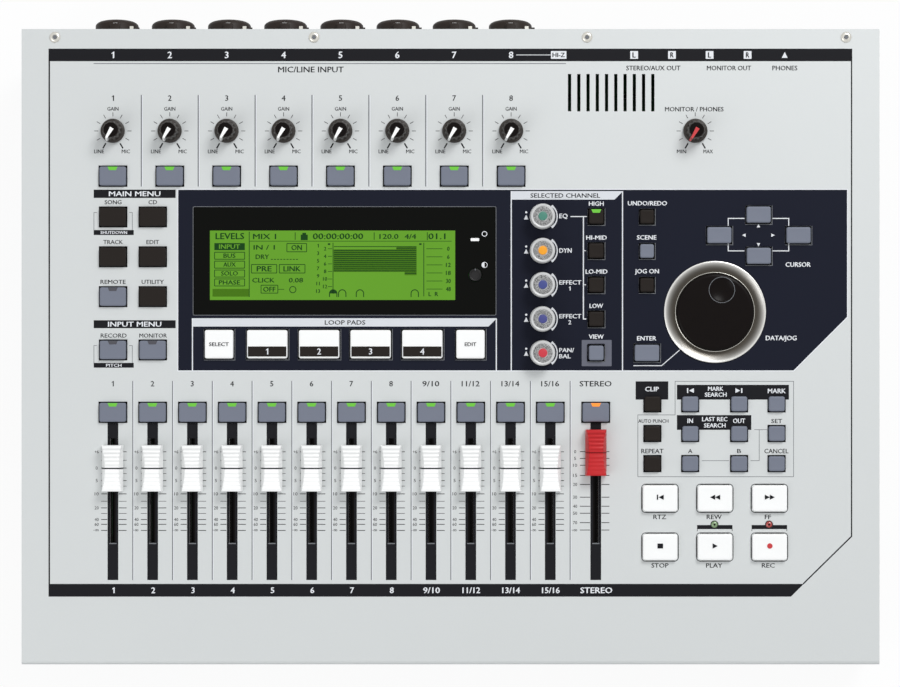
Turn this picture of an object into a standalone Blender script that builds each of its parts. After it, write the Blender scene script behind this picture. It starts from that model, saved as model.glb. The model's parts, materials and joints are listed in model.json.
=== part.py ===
"""A sixteen-track desktop recorder with a sloped deck, as separate solids.

Every control sits on the deck's own frame: u runs to the right, v towards the rear
and n out of the deck, with the middle of the deck's flat top at nought. The world's
+Y is the rear and +Z is up, and the recorder stands on its four feet at Z = 0.
Each moving piece has its origin on the axis that it turns or slides on.
"""
import math

import bmesh
import bpy
from mathutils import Vector

# Case and deck; a share across is in 4650ths of the width, a tenth of a millimetre as drawn
DECK_WIDTH = 0.465
WIDTH_SHARES = 4650
DECK_FLAT = 0.3425
DECK_SLOPE = math.radians(6.0)
DECK_REAR_HEIGHT = 0.090
SHEET = 0.0016
SKIRT = 0.0140
EDGE_ROUND = 0.0020
EDGE_STEPS = 3
CASE_WALL = 0.0020
PANEL_WALL = 0.0012
FOOT_HEIGHT = 0.0060
FOOT_RADIUS = 0.0100
FOOT_INSET = 0.0350
FOOT_LIP = 0.0010
GAP = 0.0003
OVERRUN = 0.0010
REAR_RECESS = 0.0010
FLANGE_DEPTH = 0.0140
LIP_SHARE = 0.8

# Circuit boards
BOARD = 0.0016
PANEL_BOARD_DEPTH = 0.0100
PANEL_BOARD_CLEARANCE = 0.0116
PANEL_BOARD_REAR = 0.1270
PANEL_BOARD_FRONT = -0.1330
STUD_RADIUS = 0.0030
STUD_SIDES = 6
POST_RADIUS = 0.0040
POST_SIDES = 6

# Channel columns
CHANNEL_FIRST_SHARE = -1830
CHANNEL_PITCH_SHARE = 215.5
CHANNEL_COUNT = 12
STEREO_SHARE = 787
INPUT_FIRST_SHARE = -1830
INPUT_PITCH_SHARE = 308.3
INPUT_COUNT = 8

# Knobs on the deck
KNOB_V = 0.1160
KNOB_RADIUS = 0.00655
KNOB_GRIP_RADIUS = 0.0050
KNOB_FLUTE = 0.0005
KNOB_POINTS = 16
KNOB_SKIRT_HEIGHT = 0.0022
KNOB_HEIGHT = 0.0140
KNOB_LIFT = 0.0008
KNOB_CHAMFER = 0.0006
MONITOR_SHARE = 1326
SHAFT_RADIUS = 0.0030
SHAFT_HOLE_SIDES = 8
SHAFT_END = -0.0070
DECK_SHAFT_HOLE = 0.0040
POT_HALF = 0.0056
POT_TOP = -0.0030
KNOB_REST = math.radians(-150.0)

# Encoders beside the display
ENCODER_SHARE = 498
ENCODER_V = (0.0696, 0.0511, 0.0326, 0.0141, -0.0043)
ENCODER_RADIUS = 0.00690
ENCODER_TOP_RADIUS = 0.00620
ENCODER_DISH = 0.0004
ENCODER_DOT_RADIUS = 0.0026
ENCODER_HEIGHT = 0.0110
ENCODER_POINTS = 14

# Contrast knob in the display window
CONTRAST_SHARE = 134
CONTRAST_V = 0.0380
CONTRAST_RADIUS = 0.00345
CONTRAST_HEIGHT = 0.0022
CONTRAST_STEM = 0.0015
CONTRAST_POINTS = 10
CONTRAST_POT_HALF = 0.0035
CONTRAST_POT_TOP = -0.0045

# Display window and screen
WINDOW_LEFT_SHARE = -1394
WINDOW_RIGHT_SHARE = 245
WINDOW_FRONT = 0.0163
WINDOW_REAR = 0.0748
WINDOW_LIP = 0.0014
WINDOW_LIP_THICK = 0.0010
WINDOW_PROUD = 0.0002
WINDOW_CHAMFER = 0.0004
SCREEN_LEFT_SHARE = -1304
SCREEN_RIGHT_SHARE = 25
SCREEN_FRONT = 0.0244
SCREEN_REAR = 0.0620
SCREEN_FRAME = 0.0035
SCREEN_BEZEL_DEPTH = 0.0008

# Keys and key mats
MAT_TOP = -0.0019
MAT_THICK = 0.0015
MAT_MARGIN = 0.0012
MAT_CROSS_SHARE = 0.1
KEY_TRAVEL = 0.0008
KEY_HEIGHT = 0.0026
KEY_BEVEL = 0.0007
KEY_SIDE_GAP = 0.0004
STEM_HALF = 0.0016

INPUT_KEY = (0.0157, 0.0116)
INPUT_KEY_V = 0.0915
CHANNEL_KEY_V = -0.0365
NAVIGATE_KEY = (0.0155, 0.0114)
NAVIGATE_SHARES = (-1829, -1614)
NAVIGATE_V = (0.0694, 0.0478, 0.0262, -0.0027)
PAD_V = 0.0004
PAD_SQUARE = (0.0167, 0.0168)
PAD_LONG_WIDTH_SHARE = 232
PAD_LONG_DEPTH = 0.0167
PAD_SQUARE_SHARES = (-1254, 108)
PAD_LONG_SHARES = (-993, -712, -433, -153)
BAND_SHARE = 789
BAND_KEY = (0.0093, 0.0093)
EDIT_JOG_GAP = 0.0022
EDIT_KEY = (0.0088, 0.0088)
EDIT_V = (0.0695, 0.0509, 0.0325)
ENTER_KEY = (0.0146, 0.0102)
ENTER_V = -0.0043
CURSOR_KEY = (0.0144, 0.0101)
CURSOR_SHARES = (1669, 1456, 1885, 1670)
CURSOR_V = (0.0706, 0.0595, 0.0595, 0.0483)
LOCATE_KEY = (0.0099, 0.0094)
LOCATE_SHARES = (1094, 1299, 1564, 1767)
LOCATE_V = (-0.0319, -0.0480, -0.0643)
TRANSPORT_KEY = (0.0196, 0.0151)
TRANSPORT_SHARES = (1135, 1432, 1728)
TRANSPORT_V = (-0.0831, -0.1095)
TRANSPORT_CORNER = 0.0020
TRANSPORT_NAMES = (("return_key", "rewind_key", "forward_key"), ("stop_key", "play_key", "record_key"))

# Faders
FADER_SLOT_HALF = 0.0015
FADER_SLOT_REAR = -0.0506
FADER_SLOT_FRONT = -0.1075
FADER_REST = -0.0667
STEREO_REST = -0.0582
FADER_CAP_LENGTH = 0.0249
FADER_CAP_WIDTH = 0.0114
FADER_CAP_TOP_WIDTH = 0.0094
FADER_CAP_HEIGHT = 0.0105
FADER_CAP_WAIST = 0.0026
FADER_LIFT = 0.0010
FADER_LEVER_THICK = 0.0012
FADER_LEVER_LENGTH = 0.0050
FADER_LEVER_END = -0.0070
FADER_BODY_HALF = 0.0045
FADER_BODY_TOP = -0.0026
FADER_BODY_OVERHANG = 0.0062
FADER_BODY_SLOT_HALF = 0.0011
FADER_BODY_FLOOR = -0.0080

# Jog wheel
JOG_SHARE = 1433
JOG_V = 0.0179
JOG_RIM_RADIUS = 0.02765
JOG_RIM_HEIGHT = 0.0011
JOG_BODY_RADIUS = 0.0262
JOG_DIAL_RADIUS = 0.0210
JOG_DIAL_GAP = 0.0006
JOG_DISH_DEPTH = 0.0016
JOG_DISH_SHARES = (0.12, 0.45, 0.75, 1.0)
JOG_DIAL_TOP = 0.0042
JOG_DIAL_THICK = 0.0062
JOG_DIAL_CHAMFER = 0.0012
JOG_DIMPLE_U = 0.0035
JOG_DIMPLE_V = 0.0119
JOG_DIMPLE_RADIUS = 0.0069
JOG_DIMPLE_DEPTH = 0.0015
JOG_POINTS = 32
JOG_ENCODER_HALF = 0.0065
JOG_ENCODER_TOP = -0.0060

# Vents in the deck
VENT_FIRST_SHARE = 645
VENT_PITCH = 0.005015
VENT_COUNT = 10
VENT_WIDTH = 0.0018
VENT_REAR = 0.1469
VENT_FRONT = 0.1266

# Input jacks on the rear
JACK_NOSE_RADIUS = 0.0118
JACK_NOSE_REACH = 0.0070
JACK_HEIGHT = 0.0620
JACK_BODY_HALF = 0.0130
JACK_BODY_DEPTH = 0.0220
JACK_BODY_GAP = 0.00483
JACK_BORE_RADIUS = 0.00325
JACK_BORE_DEPTH = 0.0180
JACK_CHAMFER_RADIUS = 0.0085
JACK_CHAMFER = 0.0018
JACK_SIDES = 12
JACK_BOARD_HALF = 0.0170
JACK_BOARD_MARGIN = 0.0170

# Main board and its connectors
MAIN_BOARD_TOP = 0.0216
MAIN_BOARD_DEPTH = 0.0900
MAIN_BOARD_CLEARANCE = 0.0106
SOCKET_HEIGHT = 0.0290
PHONE_SHARES = (600, 995, 1200, 1404, 1610, 1811)
PHONE_NOSE_RADIUS = 0.0050
PHONE_NOSE_REACH = 0.0025
PHONE_BODY_HALF = 0.0066
PHONE_BODY_DEPTH = 0.0240
PHONE_SIDES = 8
COAX_SHARES = (-500, -300)
COAX_NOSE_RADIUS = 0.0042
COAX_NOSE_REACH = 0.0060
COAX_PIN_BORE = 0.0019
DIN_SHARES = (-1100, -850)
DIN_RADIUS = 0.0078
DIN_BODY_HALF = 0.0095
DIN_FLUSH = 0.0002
USB_SHARE = -1420
USB_HALF_WIDTH = 0.0060
USB_HALF_HEIGHT = 0.0054
INLET_SHARE = -1750
INLET_RADIUS = 0.0050
SOCKET_BODY_DEPTH = 0.0150

# Standby button on the rear
STANDBY_SHARE = -2060
STANDBY_RADIUS = 0.0042
STANDBY_REACH = 0.0042
STANDBY_TRAVEL = 0.0025
STANDBY_FLANGE = 0.0056
STANDBY_FLANGE_THICK = 0.0015
STANDBY_SWITCH_HALF = 0.0050
STANDBY_SWITCH_DEPTH = 0.0090

# Disc drive and hard disk
DRIVE_SHARE = 1100
DRIVE_HALF_WIDTH = 0.0645
DRIVE_DEPTH = 0.1270
DRIVE_HEIGHT = 0.0127
DRIVE_BASE = 0.0150
DRIVE_SHELL = 0.0010
TRAY_SIDE_GAP = 0.0005
TRAY_THICK = 0.0070
TRAY_BEZEL_THICK = 0.0035
TRAY_DISC_RADIUS = 0.0608
TRAY_DISC_DEPTH = 0.0016
TRAY_HUB_RADIUS = 0.0150
TRAY_SLOT_GAP = 0.0006
TRAY_DISC_SIDES = 24
DISK_SHARE = -1200
DISK_HALF_WIDTH = 0.0508
DISK_LENGTH = 0.1460
DISK_HEIGHT = 0.0261
DISK_BASE = 0.0120
DISK_CHAMFER = 0.0020

# Case bosses and vents
BOSS_RADIUS = 0.0035
BOSS_SIDES = 6
BOSS_INSET = 0.0080
CASE_VENT_COUNT = 6
CASE_VENT_LENGTH = 0.0300
CASE_VENT_WIDTH = 0.0030
CASE_VENT_PITCH = 0.0080

# Places that follow from the sizes above
SINE = math.sin(DECK_SLOPE)
COSINE = math.cos(DECK_SLOPE)
DECK_HALF = DECK_WIDTH / 2
FLAT_HALF = DECK_FLAT / 2
FRONT_V = -FLAT_HALF - EDGE_ROUND
DECK_REAR_REACH = FLAT_HALF * COSINE
REAR_REACH = DECK_REAR_REACH + JACK_NOSE_REACH
FRONT_REACH = -FRONT_V * COSINE - EDGE_ROUND * SINE
DECK_Y = (FRONT_REACH - REAR_REACH) / 2
DECK_Z = DECK_REAR_HEIGHT - FLAT_HALF * SINE
CASE_HALF = DECK_HALF - SHEET - GAP
CASE_FRONT_V = FRONT_V + SHEET + GAP
FLOOR_TOP = FOOT_HEIGHT + CASE_WALL
PANEL_REAR_Y = DECK_Y + DECK_REAR_REACH - REAR_RECESS
PANEL_INNER_Y = PANEL_REAR_Y - PANEL_WALL
NOSE_TIP_Y = DECK_Y + REAR_REACH
SEAT_Y = PANEL_INNER_Y - GAP
MAT_BOTTOM = MAT_TOP - MAT_THICK
STEM_TOP = MAT_BOTTOM - KEY_TRAVEL - GAP
BOARD_TOP = -PANEL_BOARD_DEPTH
BOARD_BOTTOM = BOARD_TOP - BOARD
MAIN_BOARD_BASE = MAIN_BOARD_TOP - BOARD
PANEL_BOARD_HALF_WIDTH = CASE_HALF - CASE_WALL - PANEL_BOARD_CLEARANCE
MAIN_BOARD_HALF_WIDTH = CASE_HALF - CASE_WALL - MAIN_BOARD_CLEARANCE


def across(*shares):
    """Places across the deck of shares of its width."""
    places = [share * DECK_WIDTH / WIDTH_SHARES for share in shares]
    return places if len(places) > 1 else places[0]


# Places across the deck and the rear panel
STEREO_U = across(STEREO_SHARE)
MONITOR_U = across(MONITOR_SHARE)
ENCODER_U = across(ENCODER_SHARE)
CONTRAST_U = across(CONTRAST_SHARE)
WINDOW_LEFT, WINDOW_RIGHT = across(WINDOW_LEFT_SHARE, WINDOW_RIGHT_SHARE)
SCREEN_LEFT, SCREEN_RIGHT = across(SCREEN_LEFT_SHARE, SCREEN_RIGHT_SHARE)
JOG_U = across(JOG_SHARE)
NAVIGATE_U = across(*NAVIGATE_SHARES)
PAD_SQUARE_U = across(*PAD_SQUARE_SHARES)
PAD_LONG_U = across(*PAD_LONG_SHARES)
PAD_LONG = (across(PAD_LONG_WIDTH_SHARE), PAD_LONG_DEPTH)
BAND_U = across(BAND_SHARE)
EDIT_U = JOG_U - JOG_BODY_RADIUS - EDIT_JOG_GAP - MAT_MARGIN - ENTER_KEY[0] / 2
CURSOR_U = across(*CURSOR_SHARES)
LOCATE_U = across(*LOCATE_SHARES)
TRANSPORT_U = across(*TRANSPORT_SHARES)
VENT_FIRST_U = across(VENT_FIRST_SHARE)
PHONE_U = across(*PHONE_SHARES)
COAX_U = across(*COAX_SHARES)
DIN_U = across(*DIN_SHARES)
USB_U = across(USB_SHARE)
INLET_U = across(INLET_SHARE)
STANDBY_U = across(STANDBY_SHARE)
DRIVE_X = across(DRIVE_SHARE)
DISK_X = across(DISK_SHARE)


def remove_everything():
    """Empties the scene before the recorder is made."""
    for item in list(bpy.data.objects):
        bpy.data.objects.remove(item, do_unlink=True)


def deck_height(y, n):
    """World height of the plane that lies n above the deck, at depth y."""
    return DECK_Z + (n + (y - DECK_Y) * SINE) / COSINE


def deck_y(v, n):
    """World depth of the deck's point v, n."""
    return DECK_Y + v * COSINE - n * SINE


def deck_frame():
    """An empty at the middle of the deck, tipped to its slope; controls hang on it."""
    frame = bpy.data.objects.new("deck_frame", None)
    frame.location = (0, DECK_Y, DECK_Z)
    frame.rotation_euler = (DECK_SLOPE, 0, 0)
    bpy.context.collection.objects.link(frame)
    return frame


def surface(name, colour, roughness, metallic):
    """A plain material with the piece's colour and finish."""
    made = bpy.data.materials.new(name)
    made.use_nodes = True
    shader = made.node_tree.nodes["Principled BSDF"]
    shader.inputs["Base Color"].default_value = (*colour, 1.0)
    shader.inputs["Roughness"].default_value = roughness
    shader.inputs["Metallic"].default_value = metallic
    return made


FINISHES = {
    "silver": ((0.66, 0.70, 0.73), 0.45, 0.55),
    "case": ((0.20, 0.21, 0.23), 0.50, 0.60),
    "rubber": ((0.02, 0.02, 0.02), 0.80, 0.0),
    "grey_key": ((0.24, 0.25, 0.34), 0.50, 0.0),
    "dark_key": ((0.03, 0.025, 0.02), 0.50, 0.0),
    "white_key": ((0.85, 0.86, 0.86), 0.45, 0.0),
    "red": ((0.60, 0.05, 0.07), 0.45, 0.0),
    "board": ((0.02, 0.16, 0.07), 0.50, 0.0),
    "steel": ((0.55, 0.56, 0.57), 0.35, 1.0),
    "black": ((0.02, 0.02, 0.02), 0.40, 0.0),
    "bright": ((0.72, 0.72, 0.70), 0.30, 0.8),
    "window": ((0.01, 0.01, 0.012), 0.10, 0.0),
    "screen": ((0.20, 0.50, 0.05), 0.40, 0.0),
}


def place(name, form, finish, parent=None, location=(0, 0, 0), spin=0.0, smooth=False):
    """Makes the named piece from a bmesh, with its own material, under its parent."""
    mesh = bpy.data.meshes.new(name)
    form.to_mesh(mesh)
    form.free()
    return place_mesh(name, mesh, finish, parent, location, spin, smooth)


def place_mesh(name, mesh, finish, parent=None, location=(0, 0, 0), spin=0.0, smooth=False):
    """Makes the named piece from a mesh that other pieces may share."""
    piece = bpy.data.objects.new(name, mesh)
    bpy.context.collection.objects.link(piece)
    if not mesh.materials:
        mesh.materials.append(None)
    piece.material_slots[0].link = 'OBJECT'
    piece.material_slots[0].material = surface(name, *FINISHES[finish])
    piece.parent = parent
    piece.location = location
    piece.rotation_euler = (0, 0, spin)
    if smooth:
        mesh.shade_smooth()
        mesh.set_sharp_from_angle(angle=math.radians(35.0))
    return piece


def shared_mesh(name, form):
    """Keeps a bmesh as a mesh for several pieces."""
    mesh = bpy.data.meshes.new(name)
    form.to_mesh(mesh)
    form.free()
    return mesh


def add_loft(form, rings):
    """Adds one closed body through rings of as many points each, capped at both ends."""
    layers = [[form.verts.new(point) for point in ring] for ring in rings]
    count = len(layers[0])
    faces = [form.faces.new(tuple(reversed(layers[0]))), form.faces.new(layers[-1])]
    for lower, upper in zip(layers, layers[1:]):
        for index in range(count):
            after = (index + 1) % count
            corners = (lower[index], lower[after], upper[after], upper[index])
            faces.append(form.faces.new(corners))
    bmesh.ops.recalc_face_normals(form, faces=faces)
    return faces


def add_box(form, low, high):
    """Adds a closed box between two corners."""
    outline = ((low[0], low[1]), (high[0], low[1]), (high[0], high[1]), (low[0], high[1]))
    return add_loft(form, [[(x, y, z) for x, y in outline] for z in (low[2], high[2])])


def add_pillar(form, x, y, radius, low, high, sides):
    """Adds a closed upright prism with a round outline."""
    return add_loft(form, [circle(radius, sides, height, x, y) for height in (low, high)])


def add_barrel(form, x, z, rings, sides):
    """Adds a closed body turned about a line along Y, through pairs of y and radius."""
    layers = []
    for y, radius in rings:
        layers.append([(x + px, y, z + pz) for px, pz, _ in circle(radius, sides, 0)])
    return add_loft(form, layers)


def circle(radius, sides, height, x=0.0, y=0.0, start=0.0):
    """Points on a level circle, the first one at the start angle."""
    turns = [start + math.tau * step / sides for step in range(sides)]
    return [(x + radius * math.cos(turn), y + radius * math.sin(turn), height) for turn in turns]


def outer_radius(flat_radius, sides):
    """Corner radius of a polygon whose flats stand at the given radius."""
    return flat_radius / math.cos(math.pi / sides)


def rectangle(half_u, half_v, height, corner=0.0):
    """Points of a level rectangle, with its corners cut where a corner size is given."""
    if not corner:
        return [(-half_u, -half_v, height), (half_u, -half_v, height),
                (half_u, half_v, height), (-half_u, half_v, height)]
    inner_u = half_u - corner
    inner_v = half_v - corner
    return [(-inner_u, -half_v, height), (inner_u, -half_v, height),
            (half_u, -inner_v, height), (half_u, inner_v, height),
            (inner_u, half_v, height), (-inner_u, half_v, height),
            (-half_u, inner_v, height), (-half_u, -inner_v, height)]


def moved(points, u, v):
    """The same points, shifted along the deck."""
    return [(x + u, y + v, z) for x, y, z in points]


def side_prism(form, outline, half_width, centre=0.0):
    """Adds a side outline of y and z points, carried across the width."""
    return add_loft(form, [[(x, y, z) for y, z in outline]
                           for x in (centre - half_width, centre + half_width)])


def cut(piece, form, name, operation='DIFFERENCE'):
    """Takes a form out of the piece, or joins it on, with a hidden cutter."""
    mesh = bpy.data.meshes.new(name)
    form.to_mesh(mesh)
    form.free()
    cutter = bpy.data.objects.new(name, mesh)
    bpy.context.collection.objects.link(cutter)
    cutter.parent = piece
    cutter.hide_render = True
    cutter.display_type = 'WIRE'
    modifier = piece.modifiers.new(name, 'BOOLEAN')
    modifier.operation = operation
    modifier.solver = 'EXACT'
    modifier.object = cutter
    return cutter


def channel_columns():
    """u places of the twelve channel columns and the stereo column."""
    shares = [CHANNEL_FIRST_SHARE + CHANNEL_PITCH_SHARE * index for index in range(CHANNEL_COUNT)]
    return across(*shares, STEREO_SHARE)


def input_columns():
    """u places of the eight input columns."""
    return across(*[INPUT_FIRST_SHARE + INPUT_PITCH_SHARE * index for index in range(INPUT_COUNT)])


def key_banks():
    """Each bank of keys that shares one rubber mat: its finish and its keys' holes."""
    pads = [(u, PAD_V, *PAD_SQUARE) for u in PAD_SQUARE_U]
    pads += [(u, PAD_V, *PAD_LONG) for u in PAD_LONG_U]
    edits = [(EDIT_U, v, *EDIT_KEY) for v in EDIT_V] + [(EDIT_U, ENTER_V, *ENTER_KEY)]
    return {
        "input_keys": ("grey_key", [(u, INPUT_KEY_V, *INPUT_KEY) for u in input_columns()]),
        "channel_keys": ("grey_key", [(u, CHANNEL_KEY_V, *INPUT_KEY) for u in channel_columns()]),
        "navigate_keys": ("dark_key", [(u, v, *NAVIGATE_KEY) for u in NAVIGATE_U for v in NAVIGATE_V]),
        "loop_pads": ("white_key", pads),
        "band_keys": ("dark_key", [(BAND_U, v, *BAND_KEY) for v in ENCODER_V]),
        "edit_keys": ("dark_key", edits),
        "cursor_keys": ("grey_key", [(u, v, *CURSOR_KEY) for u, v in zip(CURSOR_U, CURSOR_V)]),
        "locate_keys": ("grey_key", [(u, v, *LOCATE_KEY) for u in LOCATE_U for v in LOCATE_V]),
    }


def transport_places():
    """Name and place of each transport key."""
    places = []
    for names, v in zip(TRANSPORT_NAMES, TRANSPORT_V):
        places += [(name, u, v) for name, u in zip(names, TRANSPORT_U)]
    return places


def knob_places():
    """Name and u of each pointer knob: a gain knob for each input and the monitor level."""
    places = [(f"gain_knob_{index + 1}", u) for index, u in enumerate(input_columns())]
    return places + [("monitor_knob", MONITOR_U)]


def fader_places():
    """Name, u and resting v of each fader."""
    places = [(f"fader_{index + 1}", u, FADER_REST)
              for index, u in enumerate(channel_columns()[:-1])]
    return places + [("fader_stereo", STEREO_U, STEREO_REST)]


def stud_places():
    """u and v of the studs under the deck that hold the panel board."""
    side = PANEL_BOARD_HALF_WIDTH - 2 * STUD_RADIUS
    middle = (CHANNEL_KEY_V + PANEL_BOARD_REAR) / 2
    rear = PANEL_BOARD_REAR - 2 * STUD_RADIUS
    front = PANEL_BOARD_FRONT + 2 * STUD_RADIUS
    return [(u, v) for u in (-side, side) for v in (front, middle, rear)]


def make_top_panel(frame):
    """The deck: a lid with rounded edges, hollow below, pierced for every control."""
    lid = bmesh.new()
    add_box(lid, (-DECK_HALF, FRONT_V, -SHEET - SKIRT), (DECK_HALF, FLAT_HALF, 0))
    middles = {edge: (edge.verts[0].co + edge.verts[1].co) / 2 for edge in lid.edges}
    upper = [edge for edge in lid.edges if middles[edge].z > -EDGE_ROUND]
    front = [edge for edge in upper if middles[edge].y < -FLAT_HALF]
    bmesh.ops.bevel(lid, geom=front, offset=EDGE_ROUND, segments=EDGE_STEPS,
                    profile=0.5, affect='EDGES')
    panel = place("top_panel", lid, "silver", frame)

    hollow = bmesh.new()
    add_box(hollow, (-DECK_HALF + SHEET, FRONT_V + SHEET, -SHEET - SKIRT - OVERRUN),
            (DECK_HALF - SHEET, FLAT_HALF + OVERRUN, -SHEET))
    cut(panel, hollow, "deck_hollow")

    openings = bmesh.new()
    low = -SHEET - OVERRUN
    high = OVERRUN
    for _, keys in key_banks().values():
        for u, v, width, depth in keys:
            add_box(openings, (u - width / 2, v - depth / 2, low), (u + width / 2, v + depth / 2, high))
    for _, u, v in transport_places():
        rings = [moved(rectangle(TRANSPORT_KEY[0] / 2, TRANSPORT_KEY[1] / 2, n, TRANSPORT_CORNER), u, v)
                 for n in (low, high)]
        add_loft(openings, rings)
    for _, u, _ in fader_places():
        add_box(openings, (u - FADER_SLOT_HALF, FADER_SLOT_FRONT, low),
                (u + FADER_SLOT_HALF, FADER_SLOT_REAR, high))
    for index in range(VENT_COUNT):
        u = VENT_FIRST_U + VENT_PITCH * index
        add_box(openings, (u - VENT_WIDTH / 2, VENT_FRONT, low), (u + VENT_WIDTH / 2, VENT_REAR, high))
    for _, u in knob_places():
        add_pillar(openings, u, KNOB_V, DECK_SHAFT_HOLE, low, high, SHAFT_HOLE_SIDES)
    for v in ENCODER_V:
        add_pillar(openings, ENCODER_U, v, DECK_SHAFT_HOLE, low, high, SHAFT_HOLE_SIDES)
    add_pillar(openings, JOG_U, JOG_V, outer_radius(JOG_BODY_RADIUS + GAP, JOG_POINTS),
               low, high, JOG_POINTS)
    add_box(openings, (WINDOW_LEFT - GAP, WINDOW_FRONT - GAP, low),
            (WINDOW_RIGHT + GAP, WINDOW_REAR + GAP, high))
    cut(panel, openings, "deck_openings")

    studs = bmesh.new()
    for u, v in stud_places():
        add_pillar(studs, u, v, STUD_RADIUS, BOARD_TOP + GAP, -SHEET / 2, STUD_SIDES)
    cut(panel, studs, "deck_studs", 'UNION')
    return panel


def make_bottom_case():
    """The tray under the deck: wedge walls, bosses for what it carries, tray slot and vents."""
    rim = MAT_TOP
    front_y = deck_y(CASE_FRONT_V, rim)
    drop = deck_height(front_y, rim) - FOOT_HEIGHT
    foot_y = front_y + drop * SINE / COSINE
    outer = ((front_y, deck_height(front_y, rim)), (foot_y, FOOT_HEIGHT),
             (PANEL_REAR_Y, FOOT_HEIGHT), (PANEL_REAR_Y, deck_height(PANEL_REAR_Y, rim)))
    form = bmesh.new()
    side_prism(form, outer, CASE_HALF)
    case = place("bottom_case", form, "case")

    inner_front = foot_y + CASE_WALL / COSINE
    lift = deck_height(front_y, rim) + OVERRUN
    lean = (lift - FLOOR_TOP) * SINE / COSINE
    inner = ((inner_front - lean, lift), (inner_front, FLOOR_TOP),
             (PANEL_REAR_Y + OVERRUN, FLOOR_TOP),
             (PANEL_REAR_Y + OVERRUN, deck_height(PANEL_REAR_Y, rim) + OVERRUN))
    hollow = bmesh.new()
    side_prism(hollow, inner, CASE_HALF - CASE_WALL)
    cut(case, hollow, "case_hollow")

    slots = bmesh.new()
    half = DRIVE_HALF_WIDTH + TRAY_SLOT_GAP
    add_box(slots, (DRIVE_X - half, front_y - OVERRUN, DRIVE_BASE - TRAY_SLOT_GAP),
            (DRIVE_X + half, drive_front_y(), DRIVE_BASE + DRIVE_HEIGHT + TRAY_SLOT_GAP))
    vent_y = PANEL_REAR_Y - MAIN_BOARD_DEPTH - CASE_VENT_LENGTH
    for index in range(CASE_VENT_COUNT):
        x = (index - (CASE_VENT_COUNT - 1) / 2) * CASE_VENT_PITCH
        add_box(slots, (x - CASE_VENT_WIDTH / 2, vent_y, FOOT_HEIGHT - OVERRUN),
                (x + CASE_VENT_WIDTH / 2, vent_y + CASE_VENT_LENGTH, FLOOR_TOP + OVERRUN))
    cut(case, slots, "case_slots")

    bosses = bmesh.new()
    sunk = FLOOR_TOP - CASE_WALL / 2
    for x, y, top in boss_places():
        add_pillar(bosses, x, y, BOSS_RADIUS, sunk, top, BOSS_SIDES)
    for x, y in post_places():
        foot = circle(POST_RADIUS, POST_SIDES, sunk, x, y)
        head = [(px, py, deck_height(py, BOARD_BOTTOM - GAP)) for px, py, _ in foot]
        add_loft(bosses, [foot, head])
    cut(case, bosses, "case_bosses", 'UNION')
    return case


def drive_front_y():
    """Depth of the disc drive's front, just behind the case's leaning front wall."""
    return deck_y(CASE_FRONT_V, deck_n_of_drive()) + 2 * CASE_WALL


def deck_n_of_drive():
    """Depth below the deck of the disc drive's foot, at the front of the case."""
    return (DRIVE_BASE - DECK_Z) * COSINE - CASE_FRONT_V * SINE


def disk_front_y():
    """Depth of the hard disk's front face."""
    return drive_front_y() + BOSS_INSET


def boss_places():
    """x, y and top of each boss that carries the drive, the disk or the main board."""
    places = []
    for x in (DRIVE_X - DRIVE_HALF_WIDTH + BOSS_INSET, DRIVE_X + DRIVE_HALF_WIDTH - BOSS_INSET):
        for y in (drive_front_y() + BOSS_INSET, drive_front_y() + DRIVE_DEPTH - BOSS_INSET):
            places.append((x, y, DRIVE_BASE - GAP))
    for x in (DISK_X - DISK_HALF_WIDTH + BOSS_INSET, DISK_X + DISK_HALF_WIDTH - BOSS_INSET):
        for y in (disk_front_y() + BOSS_INSET, disk_front_y() + DISK_LENGTH - BOSS_INSET):
            places.append((x, y, DISK_BASE - GAP))
    for x in (-MAIN_BOARD_HALF_WIDTH + BOSS_INSET, MAIN_BOARD_HALF_WIDTH - BOSS_INSET):
        for y in (SEAT_Y - MAIN_BOARD_DEPTH + BOSS_INSET, SEAT_Y - PHONE_BODY_DEPTH - BOSS_INSET):
            places.append((x, y, MAIN_BOARD_BASE - GAP))
    return places


def post_places():
    """x and y of the tall posts that stiffen the panel board from below."""
    front = drive_front_y() + DRIVE_DEPTH / 2
    side = PANEL_BOARD_HALF_WIDTH - 2 * BOSS_INSET
    between = (DISK_X + DISK_HALF_WIDTH + DRIVE_X - DRIVE_HALF_WIDTH) / 2
    return [(-side, front), (between, front), (side, front)]


def make_rear_panel():
    """The rear plate: folded forward under the deck, with a hole for each connector."""
    flange_v = FLAT_HALF - FLANGE_DEPTH
    top = MAT_TOP
    under = top - PANEL_WALL
    outline = ((PANEL_REAR_Y, FLOOR_TOP + GAP), (PANEL_REAR_Y, deck_height(PANEL_REAR_Y, top)),
               (deck_y(flange_v, top), deck_height(deck_y(flange_v, top), top)),
               (deck_y(flange_v, under), deck_height(deck_y(flange_v, under), under)),
               (PANEL_INNER_Y, deck_height(PANEL_INNER_Y, under)), (PANEL_INNER_Y, FLOOR_TOP + GAP))
    form = bmesh.new()
    side_prism(form, outline, CASE_HALF - CASE_WALL - GAP)
    panel = place("rear_panel", form, "case")

    holes = bmesh.new()
    ends = (PANEL_INNER_Y - OVERRUN, PANEL_REAR_Y + OVERRUN)
    for x in input_columns():
        radius = outer_radius(JACK_NOSE_RADIUS + GAP, JACK_SIDES)
        add_barrel(holes, x, JACK_HEIGHT, [(y, radius) for y in ends], JACK_SIDES)
    for x, radius in round_sockets():
        wide = outer_radius(radius + GAP, PHONE_SIDES)
        add_barrel(holes, x, SOCKET_HEIGHT, [(y, wide) for y in ends], PHONE_SIDES)
    half = USB_HALF_WIDTH + GAP
    tall = USB_HALF_HEIGHT + GAP
    add_box(holes, (USB_U - half, ends[0], SOCKET_HEIGHT - tall),
            (USB_U + half, ends[1], SOCKET_HEIGHT + tall))
    cut(panel, holes, "rear_holes")

    return panel


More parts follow.
